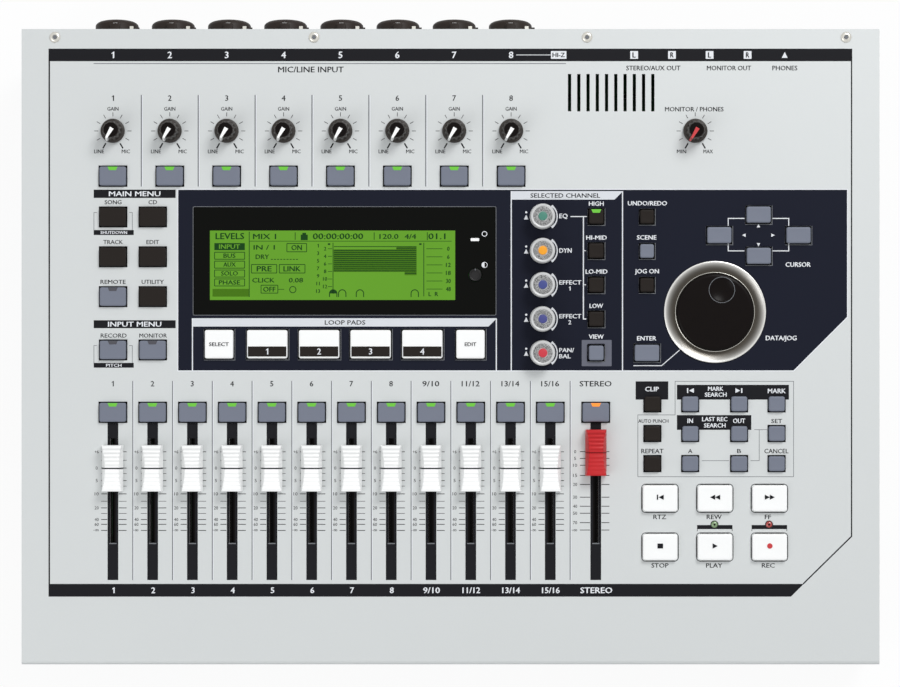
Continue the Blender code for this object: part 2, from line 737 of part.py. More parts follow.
def round_sockets():
    """x and outer radius of every round socket, and of the standby button, in the lower row."""
    sockets = [(x, PHONE_NOSE_RADIUS) for x in PHONE_U]
    sockets += [(x, COAX_NOSE_RADIUS) for x in COAX_U]
    sockets += [(x, DIN_RADIUS) for x in DIN_U]
    sockets += [(INLET_U, INLET_RADIUS), (STANDBY_U, STANDBY_RADIUS)]
    return sockets


def make_display(frame):
    """The glossy window with its hidden lip, and the screen module behind it."""
    form = bmesh.new()
    half_u = (WINDOW_RIGHT - WINDOW_LEFT) / 2
    half_v = (WINDOW_REAR - WINDOW_FRONT) / 2
    lip = -SHEET - GAP
    levels = ((half_u + WINDOW_LIP, half_v + WINDOW_LIP, lip - WINDOW_LIP_THICK),
              (half_u + WINDOW_LIP, half_v + WINDOW_LIP, lip),
              (half_u, half_v, lip),
              (half_u, half_v, WINDOW_PROUD - WINDOW_CHAMFER),
              (half_u - WINDOW_CHAMFER, half_v - WINDOW_CHAMFER, WINDOW_PROUD))
    add_loft(form, [rectangle(*level) for level in levels])
    middle = ((WINDOW_LEFT + WINDOW_RIGHT) / 2, (WINDOW_FRONT + WINDOW_REAR) / 2, 0)
    window = place("display_window", form, "window", frame, middle)
    hole = bmesh.new()
    radius = outer_radius(CONTRAST_RADIUS + GAP, CONTRAST_POINTS)
    add_pillar(hole, CONTRAST_U - middle[0], CONTRAST_V - middle[1], radius,
               lip - 2 * WINDOW_LIP_THICK, WINDOW_PROUD + OVERRUN, CONTRAST_POINTS)
    cut(window, hole, "contrast_hole")

    form = bmesh.new()
    half_u = (SCREEN_RIGHT - SCREEN_LEFT) / 2
    half_v = (SCREEN_REAR - SCREEN_FRONT) / 2
    top = lip - WINDOW_LIP_THICK - GAP
    add_box(form, (-half_u - SCREEN_FRAME, -half_v - SCREEN_FRAME, BOARD_TOP + GAP),
            (half_u + SCREEN_FRAME, half_v + SCREEN_FRAME, top))
    middle = ((SCREEN_LEFT + SCREEN_RIGHT) / 2, (SCREEN_FRONT + SCREEN_REAR) / 2, 0)
    screen = place("lcd_module", form, "screen", frame, middle)
    recess = bmesh.new()
    add_box(recess, (-half_u, -half_v, top - SCREEN_BEZEL_DEPTH), (half_u, half_v, top + OVERRUN))
    cut(screen, recess, "screen_recess")


def make_panel_board(frame):
    """The board under the deck, with the pot, encoder and fader bodies and the key switches."""
    form = bmesh.new()
    add_box(form, (-PANEL_BOARD_HALF_WIDTH, PANEL_BOARD_FRONT, BOARD_BOTTOM),
            (PANEL_BOARD_HALF_WIDTH, PANEL_BOARD_REAR, BOARD_TOP))
    board = place("panel_board", form, "board", frame)

    parts = bmesh.new()
    sunk = BOARD_TOP - BOARD / 2
    for u, v in pot_places():
        add_box(parts, (u - POT_HALF, v - POT_HALF, sunk), (u + POT_HALF, v + POT_HALF, POT_TOP))
    add_box(parts, (CONTRAST_U - CONTRAST_POT_HALF, CONTRAST_V - CONTRAST_POT_HALF, sunk),
            (CONTRAST_U + CONTRAST_POT_HALF, CONTRAST_V + CONTRAST_POT_HALF, CONTRAST_POT_TOP))
    add_box(parts, (JOG_U - JOG_ENCODER_HALF, JOG_V - JOG_ENCODER_HALF, sunk),
            (JOG_U + JOG_ENCODER_HALF, JOG_V + JOG_ENCODER_HALF, JOG_ENCODER_TOP))
    for _, u, _ in fader_places():
        add_box(parts, (u - FADER_BODY_HALF, FADER_SLOT_FRONT - FADER_BODY_OVERHANG, sunk),
                (u + FADER_BODY_HALF, FADER_SLOT_REAR + FADER_BODY_OVERHANG, FADER_BODY_TOP))
    for u, v in switch_places():
        add_box(parts, (u - STEM_HALF, v - STEM_HALF, sunk), (u + STEM_HALF, v + STEM_HALF, STEM_TOP))
    cut(board, parts, "board_parts", 'UNION')

    bores = bmesh.new()
    radius = outer_radius(SHAFT_RADIUS + GAP, SHAFT_HOLE_SIDES)
    for u, v in pot_places():
        add_pillar(bores, u, v, radius, SHAFT_END - GAP, POT_TOP + OVERRUN, SHAFT_HOLE_SIDES)
    add_pillar(bores, JOG_U, JOG_V, radius, BOARD_TOP + GAP, JOG_ENCODER_TOP + OVERRUN, SHAFT_HOLE_SIDES)
    stem = outer_radius(CONTRAST_STEM + GAP, STUD_SIDES)
    add_pillar(bores, CONTRAST_U, CONTRAST_V, stem, SHAFT_END - GAP, CONTRAST_POT_TOP + OVERRUN, STUD_SIDES)
    for _, u, _ in fader_places():
        add_box(bores, (u - FADER_BODY_SLOT_HALF, FADER_SLOT_FRONT, FADER_BODY_FLOOR),
                (u + FADER_BODY_SLOT_HALF, FADER_SLOT_REAR, FADER_BODY_TOP + OVERRUN))
    cut(board, bores, "board_bores")
    return board


def pot_places():
    """u and v of every turned control that has its body on the panel board."""
    places = [(u, KNOB_V) for _, u in knob_places()]
    return places + [(ENCODER_U, v) for v in ENCODER_V]


def switch_places():
    """u and v of the switches under the large transport keys."""
    return [(u, v) for _, u, v in transport_places()]


def make_input_jacks():
    """Eight input jacks on one upright board, their noses out through the rear panel."""
    columns = input_columns()
    back = SEAT_Y - JACK_BODY_DEPTH
    half_width = (across(INPUT_PITCH_SHARE) - JACK_BODY_GAP) / 2
    form = bmesh.new()
    add_box(form, (columns[0] - JACK_BOARD_MARGIN, back - BOARD, JACK_HEIGHT - JACK_BOARD_HALF),
            (columns[-1] + JACK_BOARD_MARGIN, back, JACK_HEIGHT + JACK_BOARD_HALF))
    board = place("input_jacks", form, "black")
    bodies = bmesh.new()
    noses = bmesh.new()
    bores = bmesh.new()
    for x in columns:
        add_box(bodies, (x - half_width, back - BOARD / 2, JACK_HEIGHT - JACK_BODY_HALF),
                (x + half_width, SEAT_Y, JACK_HEIGHT + JACK_BODY_HALF))
        rings = ((SEAT_Y - BOARD, JACK_NOSE_RADIUS), (NOSE_TIP_Y - JACK_CHAMFER, JACK_NOSE_RADIUS),
                 (NOSE_TIP_Y, JACK_CHAMFER_RADIUS))
        add_barrel(noses, x, JACK_HEIGHT, rings, JACK_SIDES)
        bore = ((NOSE_TIP_Y - JACK_BORE_DEPTH, JACK_BORE_RADIUS), (NOSE_TIP_Y + OVERRUN, JACK_BORE_RADIUS))
        add_barrel(bores, x, JACK_HEIGHT, bore, PHONE_SIDES)
    cut(board, bodies, "jack_bodies", 'UNION')
    cut(board, noses, "jack_noses", 'UNION')
    cut(board, bores, "jack_bores")
    return board


def make_main_board():
    """The board on the case floor, with the lower row of sockets along its rear edge."""
    form = bmesh.new()
    add_box(form, (-MAIN_BOARD_HALF_WIDTH, SEAT_Y - MAIN_BOARD_DEPTH, MAIN_BOARD_BASE),
            (MAIN_BOARD_HALF_WIDTH, SEAT_Y, MAIN_BOARD_TOP))
    board = place("main_board", form, "board")

    sunk = MAIN_BOARD_TOP - BOARD / 2
    bodies = bmesh.new()
    noses = bmesh.new()
    bores = bmesh.new()

    def add_socket(x, half, depth, nose_radius, reach):
        """One socket: its body on the board and its round nose through the rear panel."""
        add_box(bodies, (x - half, SEAT_Y - depth, sunk), (x + half, SEAT_Y, SOCKET_HEIGHT + half))
        rings = ((SEAT_Y - BOARD, nose_radius), (PANEL_REAR_Y + reach, nose_radius))
        add_barrel(noses, x, SOCKET_HEIGHT, rings, PHONE_SIDES)

    for x in PHONE_U:
        add_socket(x, PHONE_BODY_HALF, PHONE_BODY_DEPTH, PHONE_NOSE_RADIUS, PHONE_NOSE_REACH)
        bore = ((PANEL_REAR_Y + PHONE_NOSE_REACH - JACK_BORE_DEPTH, JACK_BORE_RADIUS),
                (PANEL_REAR_Y + PHONE_NOSE_REACH + OVERRUN, JACK_BORE_RADIUS))
        add_barrel(bores, x, SOCKET_HEIGHT, bore, PHONE_SIDES)
    for x in COAX_U:
        add_socket(x, PHONE_BODY_HALF, SOCKET_BODY_DEPTH, COAX_NOSE_RADIUS, COAX_NOSE_REACH)
        bore = ((PANEL_REAR_Y, COAX_PIN_BORE), (PANEL_REAR_Y + COAX_NOSE_REACH + OVERRUN, COAX_PIN_BORE))
        add_barrel(bores, x, SOCKET_HEIGHT, bore, STUD_SIDES)
    for x in DIN_U:
        add_socket(x, DIN_BODY_HALF, SOCKET_BODY_DEPTH, DIN_RADIUS, DIN_FLUSH)
    add_socket(INLET_U, PHONE_BODY_HALF, SOCKET_BODY_DEPTH, INLET_RADIUS, DIN_FLUSH)
    add_box(bodies, (USB_U - PHONE_BODY_HALF, SEAT_Y - SOCKET_BODY_DEPTH, sunk),
            (USB_U + PHONE_BODY_HALF, SEAT_Y, SOCKET_HEIGHT + PHONE_BODY_HALF))
    add_box(noses, (USB_U - USB_HALF_WIDTH, SEAT_Y - BOARD, SOCKET_HEIGHT - USB_HALF_HEIGHT),
            (USB_U + USB_HALF_WIDTH, PANEL_REAR_Y + DIN_FLUSH, SOCKET_HEIGHT + USB_HALF_HEIGHT))
    face = standby_rest_y() - STANDBY_FLANGE_THICK - STANDBY_TRAVEL - GAP
    add_box(bodies, (STANDBY_U - STANDBY_SWITCH_HALF, face - STANDBY_SWITCH_DEPTH, sunk),
            (STANDBY_U + STANDBY_SWITCH_HALF, face, SOCKET_HEIGHT + STANDBY_SWITCH_HALF))
    cut(board, bodies, "socket_bodies", 'UNION')
    cut(board, noses, "socket_noses", 'UNION')
    cut(board, bores, "socket_bores")
    return board


def standby_rest_y():
    """Depth of the standby button's flange face at rest, just inside the rear panel."""
    return PANEL_INNER_Y - GAP


def make_standby_button():
    """The round button on the rear panel, with the flange that keeps it in."""
    form = bmesh.new()
    rings = ((-STANDBY_FLANGE_THICK, STANDBY_FLANGE), (0, STANDBY_FLANGE), (0, STANDBY_RADIUS),
             (PANEL_WALL + GAP + STANDBY_REACH - KEY_BEVEL, STANDBY_RADIUS),
             (PANEL_WALL + GAP + STANDBY_REACH, STANDBY_RADIUS - KEY_BEVEL))
    add_barrel(form, 0, 0, rings, PHONE_SIDES)
    return place("standby_button", form, "black", None, (STANDBY_U, standby_rest_y(), SOCKET_HEIGHT))


def make_drives():
    """The disc drive, its sliding tray and the hard disk."""
    front = drive_front_y()
    form = bmesh.new()
    add_box(form, (-DRIVE_HALF_WIDTH, 0, 0), (DRIVE_HALF_WIDTH, DRIVE_DEPTH, DRIVE_HEIGHT))
    drive = place("cd_drive", form, "steel", None, (DRIVE_X, front, DRIVE_BASE))
    cavity = bmesh.new()
    add_box(cavity, (-DRIVE_HALF_WIDTH + DRIVE_SHELL, -OVERRUN, DRIVE_SHELL),
            (DRIVE_HALF_WIDTH - DRIVE_SHELL, DRIVE_DEPTH - DRIVE_SHELL, DRIVE_HEIGHT - DRIVE_SHELL))
    cut(drive, cavity, "drive_cavity")

    half = DRIVE_HALF_WIDTH - DRIVE_SHELL - TRAY_SIDE_GAP
    base = DRIVE_SHELL + GAP
    form = bmesh.new()
    add_box(form, (-half, -GAP - TRAY_BEZEL_THICK / 2, base),
            (half, DRIVE_DEPTH - DRIVE_SHELL - TRAY_SIDE_GAP, base + TRAY_THICK))
    tray = place("cd_tray", form, "black", None, (DRIVE_X, front, DRIVE_BASE))
    bezel = bmesh.new()
    add_box(bezel, (-DRIVE_HALF_WIDTH, -GAP - TRAY_BEZEL_THICK, 0), (DRIVE_HALF_WIDTH, -GAP, DRIVE_HEIGHT))
    cut(tray, bezel, "tray_bezel", 'UNION')
    dish = bmesh.new()
    middle = DRIVE_DEPTH / 2
    top = base + TRAY_THICK
    rings = [circle(TRAY_DISC_RADIUS, TRAY_DISC_SIDES, z, 0, middle)
             for z in (top - TRAY_DISC_DEPTH, top + OVERRUN)]
    add_loft(dish, rings)
    cut(tray, dish, "tray_dish")
    hub = bmesh.new()
    add_pillar(hub, 0, middle, TRAY_HUB_RADIUS, base + TRAY_THICK / 2, top, PHONE_SIDES)
    cut(tray, hub, "tray_hub", 'UNION')

    form = bmesh.new()
    outline = [rectangle(DISK_HALF_WIDTH, DISK_LENGTH / 2, 0), rectangle(DISK_HALF_WIDTH, DISK_LENGTH / 2,
               DISK_HEIGHT - DISK_CHAMFER), rectangle(DISK_HALF_WIDTH - DISK_CHAMFER,
               DISK_LENGTH / 2 - DISK_CHAMFER, DISK_HEIGHT)]
    add_loft(form, outline)
    place("hard_disk", form, "steel", None, (DISK_X, disk_front_y() + DISK_LENGTH / 2, DISK_BASE))


def make_feet():
    """Four round rubber feet, set close under the case floor."""
    front = deck_y(CASE_FRONT_V, 0) + FOOT_INSET
    rear = PANEL_REAR_Y - FOOT_INSET
    side = CASE_HALF - FOOT_INSET
    places = ((-side, front), (side, front), (-side, rear), (side, rear))
    rings = [circle(FOOT_RADIUS - FOOT_LIP, JACK_SIDES, 0),
             circle(FOOT_RADIUS, JACK_SIDES, FOOT_LIP),
             circle(FOOT_RADIUS, JACK_SIDES, FOOT_HEIGHT - GAP)]
    form = bmesh.new()
    add_loft(form, rings)
    mesh = shared_mesh("foot", form)
    for index, (x, y) in enumerate(places):
        place_mesh(f"foot_{index + 1}", mesh, "rubber", None, (x, y, 0), 0.0, True)


def fluted(radius, flute, height):
    """Points of a fluted round: every second point lies a flute's depth further in."""
    points = []
    for index, (x, y, z) in enumerate(circle(1, KNOB_POINTS, height)):
        reach = radius - flute * (index % 2)
        points.append((x * reach, y * reach, z))
    return points


def make_knobs(frame):
    """Pointer knobs on their shafts: a flat skirt and a fluted grip, turned to their rest."""
    skirt = KNOB_LIFT + KNOB_SKIRT_HEIGHT
    form = bmesh.new()
    add_loft(form, [
        circle(SHAFT_RADIUS, KNOB_POINTS, SHAFT_END),
        circle(SHAFT_RADIUS, KNOB_POINTS, KNOB_LIFT),
        circle(KNOB_RADIUS, KNOB_POINTS, KNOB_LIFT),
        circle(KNOB_RADIUS, KNOB_POINTS, skirt - KNOB_CHAMFER),
        fluted(KNOB_GRIP_RADIUS, KNOB_FLUTE, skirt),
        fluted(KNOB_GRIP_RADIUS - KNOB_CHAMFER, KNOB_FLUTE, KNOB_HEIGHT)])
    mesh = shared_mesh("pointer_knob", form)
    for name, u in knob_places():
        place_mesh(name, mesh, "black", frame, (u, KNOB_V, 0), -KNOB_REST)


def make_encoders(frame):
    """Endless knobs: a rimmed cap with a dished top and a raised coloured dot."""
    top = ENCODER_HEIGHT
    form = bmesh.new()
    add_loft(form, [
        circle(SHAFT_RADIUS, ENCODER_POINTS, SHAFT_END),
        circle(SHAFT_RADIUS, ENCODER_POINTS, KNOB_LIFT),
        circle(ENCODER_RADIUS, ENCODER_POINTS, KNOB_LIFT),
        circle(ENCODER_RADIUS, ENCODER_POINTS, top - 2 * KNOB_CHAMFER),
        circle(ENCODER_TOP_RADIUS, ENCODER_POINTS, top),
        circle(ENCODER_DOT_RADIUS, ENCODER_POINTS, top - ENCODER_DISH),
        circle(ENCODER_DOT_RADIUS, ENCODER_POINTS, top)])
    mesh = shared_mesh("endless_knob", form)
    for index, v in enumerate(ENCODER_V):
        place_mesh(f"encoder_{index + 1}", mesh, "bright", frame, (ENCODER_U, v, 0))


def make_contrast_knob(frame):
    """The small knob in the display window, on a thin stem."""
    foot = -SHEET - GAP
    form = bmesh.new()
    add_loft(form, [
        circle(CONTRAST_STEM, CONTRAST_POINTS, SHAFT_END),
        circle(CONTRAST_STEM, CONTRAST_POINTS, foot),
        circle(CONTRAST_RADIUS, CONTRAST_POINTS, foot),
        circle(CONTRAST_RADIUS, CONTRAST_POINTS, CONTRAST_HEIGHT - KNOB_CHAMFER),
        circle(CONTRAST_RADIUS - KNOB_CHAMFER, CONTRAST_POINTS, CONTRAST_HEIGHT)])
    place("contrast_knob", form, "black", frame, (CONTRAST_U, CONTRAST_V, 0))


def mat_strip(form, keys, top, bottom):
    """Adds the flat strip of mat that carries some keys, a margin wider than they are."""
    low_u = min(u - width / 2 for u, _, width, _ in keys) - MAT_MARGIN
    high_u = max(u + width / 2 for u, _, width, _ in keys) + MAT_MARGIN
    low_v = min(v - depth / 2 for _, v, _, depth in keys) - MAT_MARGIN
    high_v = max(v + depth / 2 for _, v, _, depth in keys) + MAT_MARGIN
    add_box(form, (low_u, low_v, bottom), (high_u, high_v, top))


def make_key_banks(frame):
    """Rubber key mats under the deck, with their keys standing through it."""
    for name, (finish, keys) in key_banks().items():
        across = keys
        if name == "cursor_keys":
            across = keys[1:-1]
        form = bmesh.new()
        mat_strip(form, across, MAT_TOP, MAT_BOTTOM)
        mat = place(name, form, finish, frame)
        if across is not keys:
            along = bmesh.new()
            thin = MAT_THICK * MAT_CROSS_SHARE
            mat_strip(along, [key for key in keys if key not in across], MAT_TOP - thin, MAT_BOTTOM + thin)
            cut(mat, along, f"{name}_cross", 'UNION')
        caps = bmesh.new()
        for u, v, width, depth in keys:
            half_u = width / 2 - KEY_SIDE_GAP
            half_v = depth / 2 - KEY_SIDE_GAP
            rings = [rectangle(half_u, half_v, MAT_TOP - MAT_THICK / 2),
                     rectangle(half_u, half_v, KEY_HEIGHT - KEY_BEVEL),
                     rectangle(half_u - KEY_BEVEL, half_v - KEY_BEVEL, KEY_HEIGHT)]
            add_loft(caps, [moved(ring, u, v) for ring in rings])
        cut(mat, caps, f"{name}_caps", 'UNION')


def make_transport_keys(frame):
    """Six large keys, each on its own flange, with cut corners."""
    half_u = TRANSPORT_KEY[0] / 2
    half_v = TRANSPORT_KEY[1] / 2
    form = bmesh.new()
    levels = ((MAT_MARGIN, MAT_BOTTOM), (MAT_MARGIN, MAT_TOP), (-KEY_SIDE_GAP, MAT_TOP),
              (-KEY_SIDE_GAP, KEY_HEIGHT), (-KEY_SIDE_GAP - KEY_BEVEL, KEY_HEIGHT + KEY_BEVEL))
    add_loft(form, [rectangle(half_u + grow, half_v + grow, n, TRANSPORT_CORNER)
                    for grow, n in levels])
    mesh = shared_mesh("transport_key", form)
    for name, u, v in transport_places():
        place_mesh(name, mesh, "white_key", frame, (u, v, 0))


def fader_mesh():
    """A fader cap with a waisted top, its lever drawn down out of its flat base."""
    half = FADER_CAP_LENGTH / 2
    lever_v = FADER_LEVER_LENGTH / 2
    lever_u = FADER_LEVER_THICK / 2
    inner_share = lever_v / half
    stations = (-1, -LIP_SHARE, -inner_share, inner_share, LIP_SHARE, 1)
    form = bmesh.new()
    layers = []
    for share in stations:
        top = FADER_CAP_HEIGHT - FADER_CAP_WAIST * (1 - share * share)
        if abs(share) == 1:
            top = FADER_CAP_HEIGHT * LIP_SHARE
        v = share * half
        wide = FADER_CAP_WIDTH / 2
        narrow = FADER_CAP_TOP_WIDTH / 2
        ring = [(-wide, v, FADER_LIFT), (-lever_u, v, FADER_LIFT), (lever_u, v, FADER_LIFT),
                (wide, v, FADER_LIFT), (narrow, v, top), (-narrow, v, top)]
        layers.append(ring)
    faces = add_loft(form, layers)
    foot = Vector((0, 0, FADER_LIFT))
    base = [min(faces, key=lambda face: (face.calc_center_median() - foot).length)]
    drawn = bmesh.ops.extrude_face_region(form, geom=base)
    points = [item for item in drawn["geom"] if isinstance(item, bmesh.types.BMVert)]
    bmesh.ops.translate(form, verts=points, vec=(0, 0, FADER_LEVER_END - FADER_LIFT))
    bmesh.ops.delete(form, geom=base, context='FACES_ONLY')
    bmesh.ops.recalc_face_normals(form, faces=form.faces[:])
    return shared_mesh("fader", form)


def make_faders(frame):
    """Twelve channel faders and the stereo fader, at their resting places."""
    mesh = fader_mesh()
    for name, u, v in fader_places():
        finish = "red" if name == "fader_stereo" else "white_key"
        place_mesh(name, mesh, finish, frame, (u, v, 0))


def make_jog_wheel(frame):
    """A turned bezel with a concave face, and a dial with a finger dimple."""
    inner = JOG_DIAL_RADIUS + JOG_DIAL_GAP
    lip = (JOG_RIM_RADIUS + JOG_BODY_RADIUS) / 2
    outside = [(JOG_BODY_RADIUS, BOARD_TOP + GAP), (JOG_BODY_RADIUS, GAP), (JOG_RIM_RADIUS, GAP),
               (JOG_RIM_RADIUS, 2 * GAP), (lip, JOG_RIM_HEIGHT)]
    dish = []
    for share in JOG_DISH_SHARES:
        radius = lip + (inner - lip) * share
        depth = JOG_DISH_DEPTH * math.sin(share * math.pi / 2)
        dish.append((radius, JOG_RIM_HEIGHT - depth))
    profile = outside + dish + [(inner, BOARD_TOP + GAP)]
    form = bmesh.new()
    layers = [[form.verts.new(point) for point in circle(radius, JOG_POINTS, height)]
              for radius, height in profile]
    for lower, upper in zip(layers, layers[1:] + layers[:1]):
        for index in range(JOG_POINTS):
            after = (index + 1) % JOG_POINTS
            form.faces.new((lower[index], lower[after], upper[after], upper[index]))
    bmesh.ops.recalc_face_normals(form, faces=form.faces[:])
    place("jog_bezel", form, "bright", frame, (JOG_U, JOG_V, 0), 0.0, True)

    form = bmesh.new()
    under = JOG_DIAL_TOP - JOG_DIAL_THICK
    chamfer = JOG_DIAL_CHAMFER
    add_loft(form, [
        circle(SHAFT_RADIUS, JOG_POINTS, BOARD_TOP + 2 * GAP),
        circle(SHAFT_RADIUS, JOG_POINTS, under),
        circle(JOG_DIAL_RADIUS, JOG_POINTS, under),
        circle(JOG_DIAL_RADIUS, JOG_POINTS, JOG_DIAL_TOP - chamfer),
        circle(JOG_DIAL_RADIUS - chamfer / 2, JOG_POINTS, JOG_DIAL_TOP - chamfer / 4),
        circle(JOG_DIAL_RADIUS - 2 * chamfer, JOG_POINTS, JOG_DIAL_TOP)])
    dial = place("jog_dial", form, "black", frame, (JOG_U, JOG_V, 0), 0.0, True)
    ball = (JOG_DIMPLE_RADIUS ** 2 + JOG_DIMPLE_DEPTH ** 2) / (2 * JOG_DIMPLE_DEPTH)
    form = bmesh.new()
    bmesh.ops.create_icosphere(form, subdivisions=4, radius=ball)
    centre = Vector((JOG_DIMPLE_U, JOG_DIMPLE_V, JOG_DIAL_TOP + ball - JOG_DIMPLE_DEPTH))
    bmesh.ops.translate(form, verts=form.verts[:], vec=centre)
    cut(dial, form, "finger_dimple")


def main():
    """Builds the recorder from the outside in."""
    remove_everything()
    frame = deck_frame()
    make_top_panel(frame)
    make_bottom_case()
    make_rear_panel()
    make_display(frame)
    make_panel_board(frame)
    make_input_jacks()
    make_main_board()
    make_standby_button()
    make_drives()
    make_feet()
    make_knobs(frame)
    make_encoders(frame)
    make_contrast_knob(frame)
    make_key_banks(frame)
    make_transport_keys(frame)
    make_faders(frame)
    make_jog_wheel(frame)
    bpy.context.view_layer.update()


main()
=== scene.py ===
"""Looks of a sixteen-track desktop recorder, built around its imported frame.

Pieces are worked out in millimetres on one of the recorder's flat faces: u runs to the
right, v towards the back of the face and n out of it. The deck is the main face.
"""

import json
import math

import bmesh
import bpy
import numpy as np
from mathutils import Matrix, Vector


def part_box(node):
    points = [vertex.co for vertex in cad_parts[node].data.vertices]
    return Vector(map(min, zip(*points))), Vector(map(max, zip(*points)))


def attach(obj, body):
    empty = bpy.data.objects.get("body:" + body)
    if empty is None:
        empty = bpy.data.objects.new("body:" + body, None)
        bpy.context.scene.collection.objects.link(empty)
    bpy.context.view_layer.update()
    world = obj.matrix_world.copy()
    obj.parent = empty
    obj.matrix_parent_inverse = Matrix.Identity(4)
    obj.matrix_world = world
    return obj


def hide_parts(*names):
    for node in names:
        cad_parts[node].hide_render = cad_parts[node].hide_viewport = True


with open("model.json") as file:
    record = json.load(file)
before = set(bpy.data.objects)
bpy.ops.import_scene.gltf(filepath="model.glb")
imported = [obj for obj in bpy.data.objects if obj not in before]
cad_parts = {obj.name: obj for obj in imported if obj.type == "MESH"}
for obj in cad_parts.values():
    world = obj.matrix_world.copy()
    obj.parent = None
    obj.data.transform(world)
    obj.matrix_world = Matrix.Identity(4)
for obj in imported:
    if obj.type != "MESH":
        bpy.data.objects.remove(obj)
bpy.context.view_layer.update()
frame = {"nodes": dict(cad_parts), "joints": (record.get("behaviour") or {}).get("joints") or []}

bl_info = {
    "name": "Desktop recorder looks",
    "version": (1, 0, 0),
    "blender": (4, 5, 0),
    "location": "3D View > Sidebar > Recorder",
    "description": "Dresses the packed recorder with its finishes, print, caps and lamps",
    "category": "Object",
}

MM = 0.001

# How far print sinks into its face and stands above it, and the heights of a second and third ink
SUNK = 0.02
INK = 0.03
INK_OVER = 0.05
INK_TOP = 0.07
THIN_STEP = 0.004
OVER = (INK - 0.01, INK_OVER)
ON_TOP = (INK_OVER - 0.01, INK_TOP)


def linear(*parts):
    """Linear light of a colour given as 0 to 255: a power law with a straight foot."""
    share = np.array(parts) / 255
    bright = ((share + 0.055) / 1.055) ** 2.4
    return tuple(np.where(share > 0.04045, bright, share / 12.92))


class Face:
    """A flat face of the recorder: its middle, and the directions of u, v and n."""

    def __init__(self, middle, across, back):
        self.middle = np.array(middle, float)
        self.axes = np.array((across, back, np.cross(across, back)), float)

    def world(self, points):
        """World places in metres of points in millimetres on the face."""
        return self.middle + MM * points @ self.axes

    def local(self, places):
        """Points in millimetres on the face of world places in metres."""
        return (places - self.middle) @ self.axes.T / MM

    def node(self, name):
        """Lowest and highest u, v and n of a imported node."""
        mesh = frame["nodes"][name].data
        places = np.empty(len(mesh.vertices) * 3)
        mesh.vertices.foreach_get("co", places)
        points = self.local(places.reshape(-1, 3))
        return points.min(axis=0), points.max(axis=0)


def deck_face():
    """The deck: n against the jog wheel's axis, its middle at the middle of the print."""
    turn = next(joint for joint in frame["joints"] if joint["name"] == "jog_dial_turn")
    out = -np.array(turn["axis"])
    across = np.array((1.0, 0.0, 0.0))
    back = np.cross(out, across)
    middle = np.array(turn["pos_m"]) - MM * (JOG_FROM_MIDDLE[0] * across + JOG_FROM_MIDDLE[1] * back)
    return Face(middle, across, back)


JOG_FROM_MIDDLE = (143.3, 17.9)
DECK = deck_face()
REAR = Face((0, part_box("rear_panel")[1].y, 0), (-1, 0, 0), (0, 0, 1))
FRONT = Face((0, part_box("cd_tray")[0].y, 0), (1, 0, 0), (0, 0, 1))
UNDER = Face((0, 0, 0), (1, 0, 0), (0, -1, 0))


def middle_of(node, face=DECK):
    """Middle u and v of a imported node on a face."""
    low, high = face.node(node)
    return (low + high)[:2] / 2


# Places of the controls on the deck, from the frame where one node is one control
INPUTS = [middle_of(f"gain_knob_{number}")[0] for number in range(1, 9)]
KNOB_ROW = middle_of("monitor_knob")[1]
MONITOR = middle_of("monitor_knob")[0]
CHANNELS = [middle_of(f"fader_{number}")[0] for number in range(1, 13)]
STEREO = middle_of("fader_stereo")[0]
COLUMNS = CHANNELS + [STEREO]
ENCODERS = [middle_of(f"encoder_{number}") for number in range(1, 6)]
JOG = np.array(JOG_FROM_MIDDLE)
WINDOW_LOW, WINDOW_HIGH = DECK.node("display_window")
CONTRAST = middle_of("contrast_knob")
TRANSPORT = {name: middle_of(name) for name in
             ("return_key", "rewind_key", "forward_key", "stop_key", "play_key", "record_key")}

# Rows, columns and sizes of the keys that share a mat
INPUT_KEYS_ROW = 91.5
CHANNEL_KEYS_ROW = -36.5
INPUT_KEY = (15.7, 11.6)
NAVIGATE_COLUMNS = (-182.9, -161.4)
NAVIGATE_ROWS = (69.4, 47.8, 26.2, -2.7)
NAVIGATE_KEY = (15.5, 11.4)
PADS_ROW = 0.4
PAD_ENDS = (-125.4, 10.8)
PAD_MIDDLES = (-99.3, -71.2, -43.3, -15.3)
PAD_END = (16.7, 16.8)
PAD_LONG = (23.2, 16.7)
BAND_COLUMN = 78.9
BAND_KEY = (9.3, 9.3)
EDIT_COLUMN = 106.4
EDIT_ROWS = (69.5, 50.9, 32.5)
EDIT_KEY = (8.8, 8.8)
ENTER_ROW = -4.3
ENTER_KEY = (14.6, 10.2)
CURSORS = ((166.9, 70.6), (145.6, 59.5), (188.5, 59.5), (167.0, 48.3))
CURSOR_KEY = (14.4, 10.1)
LOCATE_COLUMNS = (109.4, 129.9, 156.4, 176.7)
LOCATE_ROWS = (-31.9, -48.0, -64.3)
LOCATE_KEY = (9.9, 9.4)
TRANSPORT_KEY = (19.6, 15.1)
TRANSPORT_CORNER = 2.0
KEY_GAP = 0.4
CAP_GAP = 0.65
KEY_TOP = 2.6
MAT_TOP = -1.9
MAT_THICK = 1.5
MAT_MARGIN = 1.2

# The jog wheel
JOG_RIM = 27.65
JOG_DIAL = 21.0
# Painted shade of the jog ring next to the dial, as shares of the ring's colour
JOG_PAINTED_SHADE = (0.075, 0.066, 0.055)

# The screen's dots
DOT_PITCH = 0.55

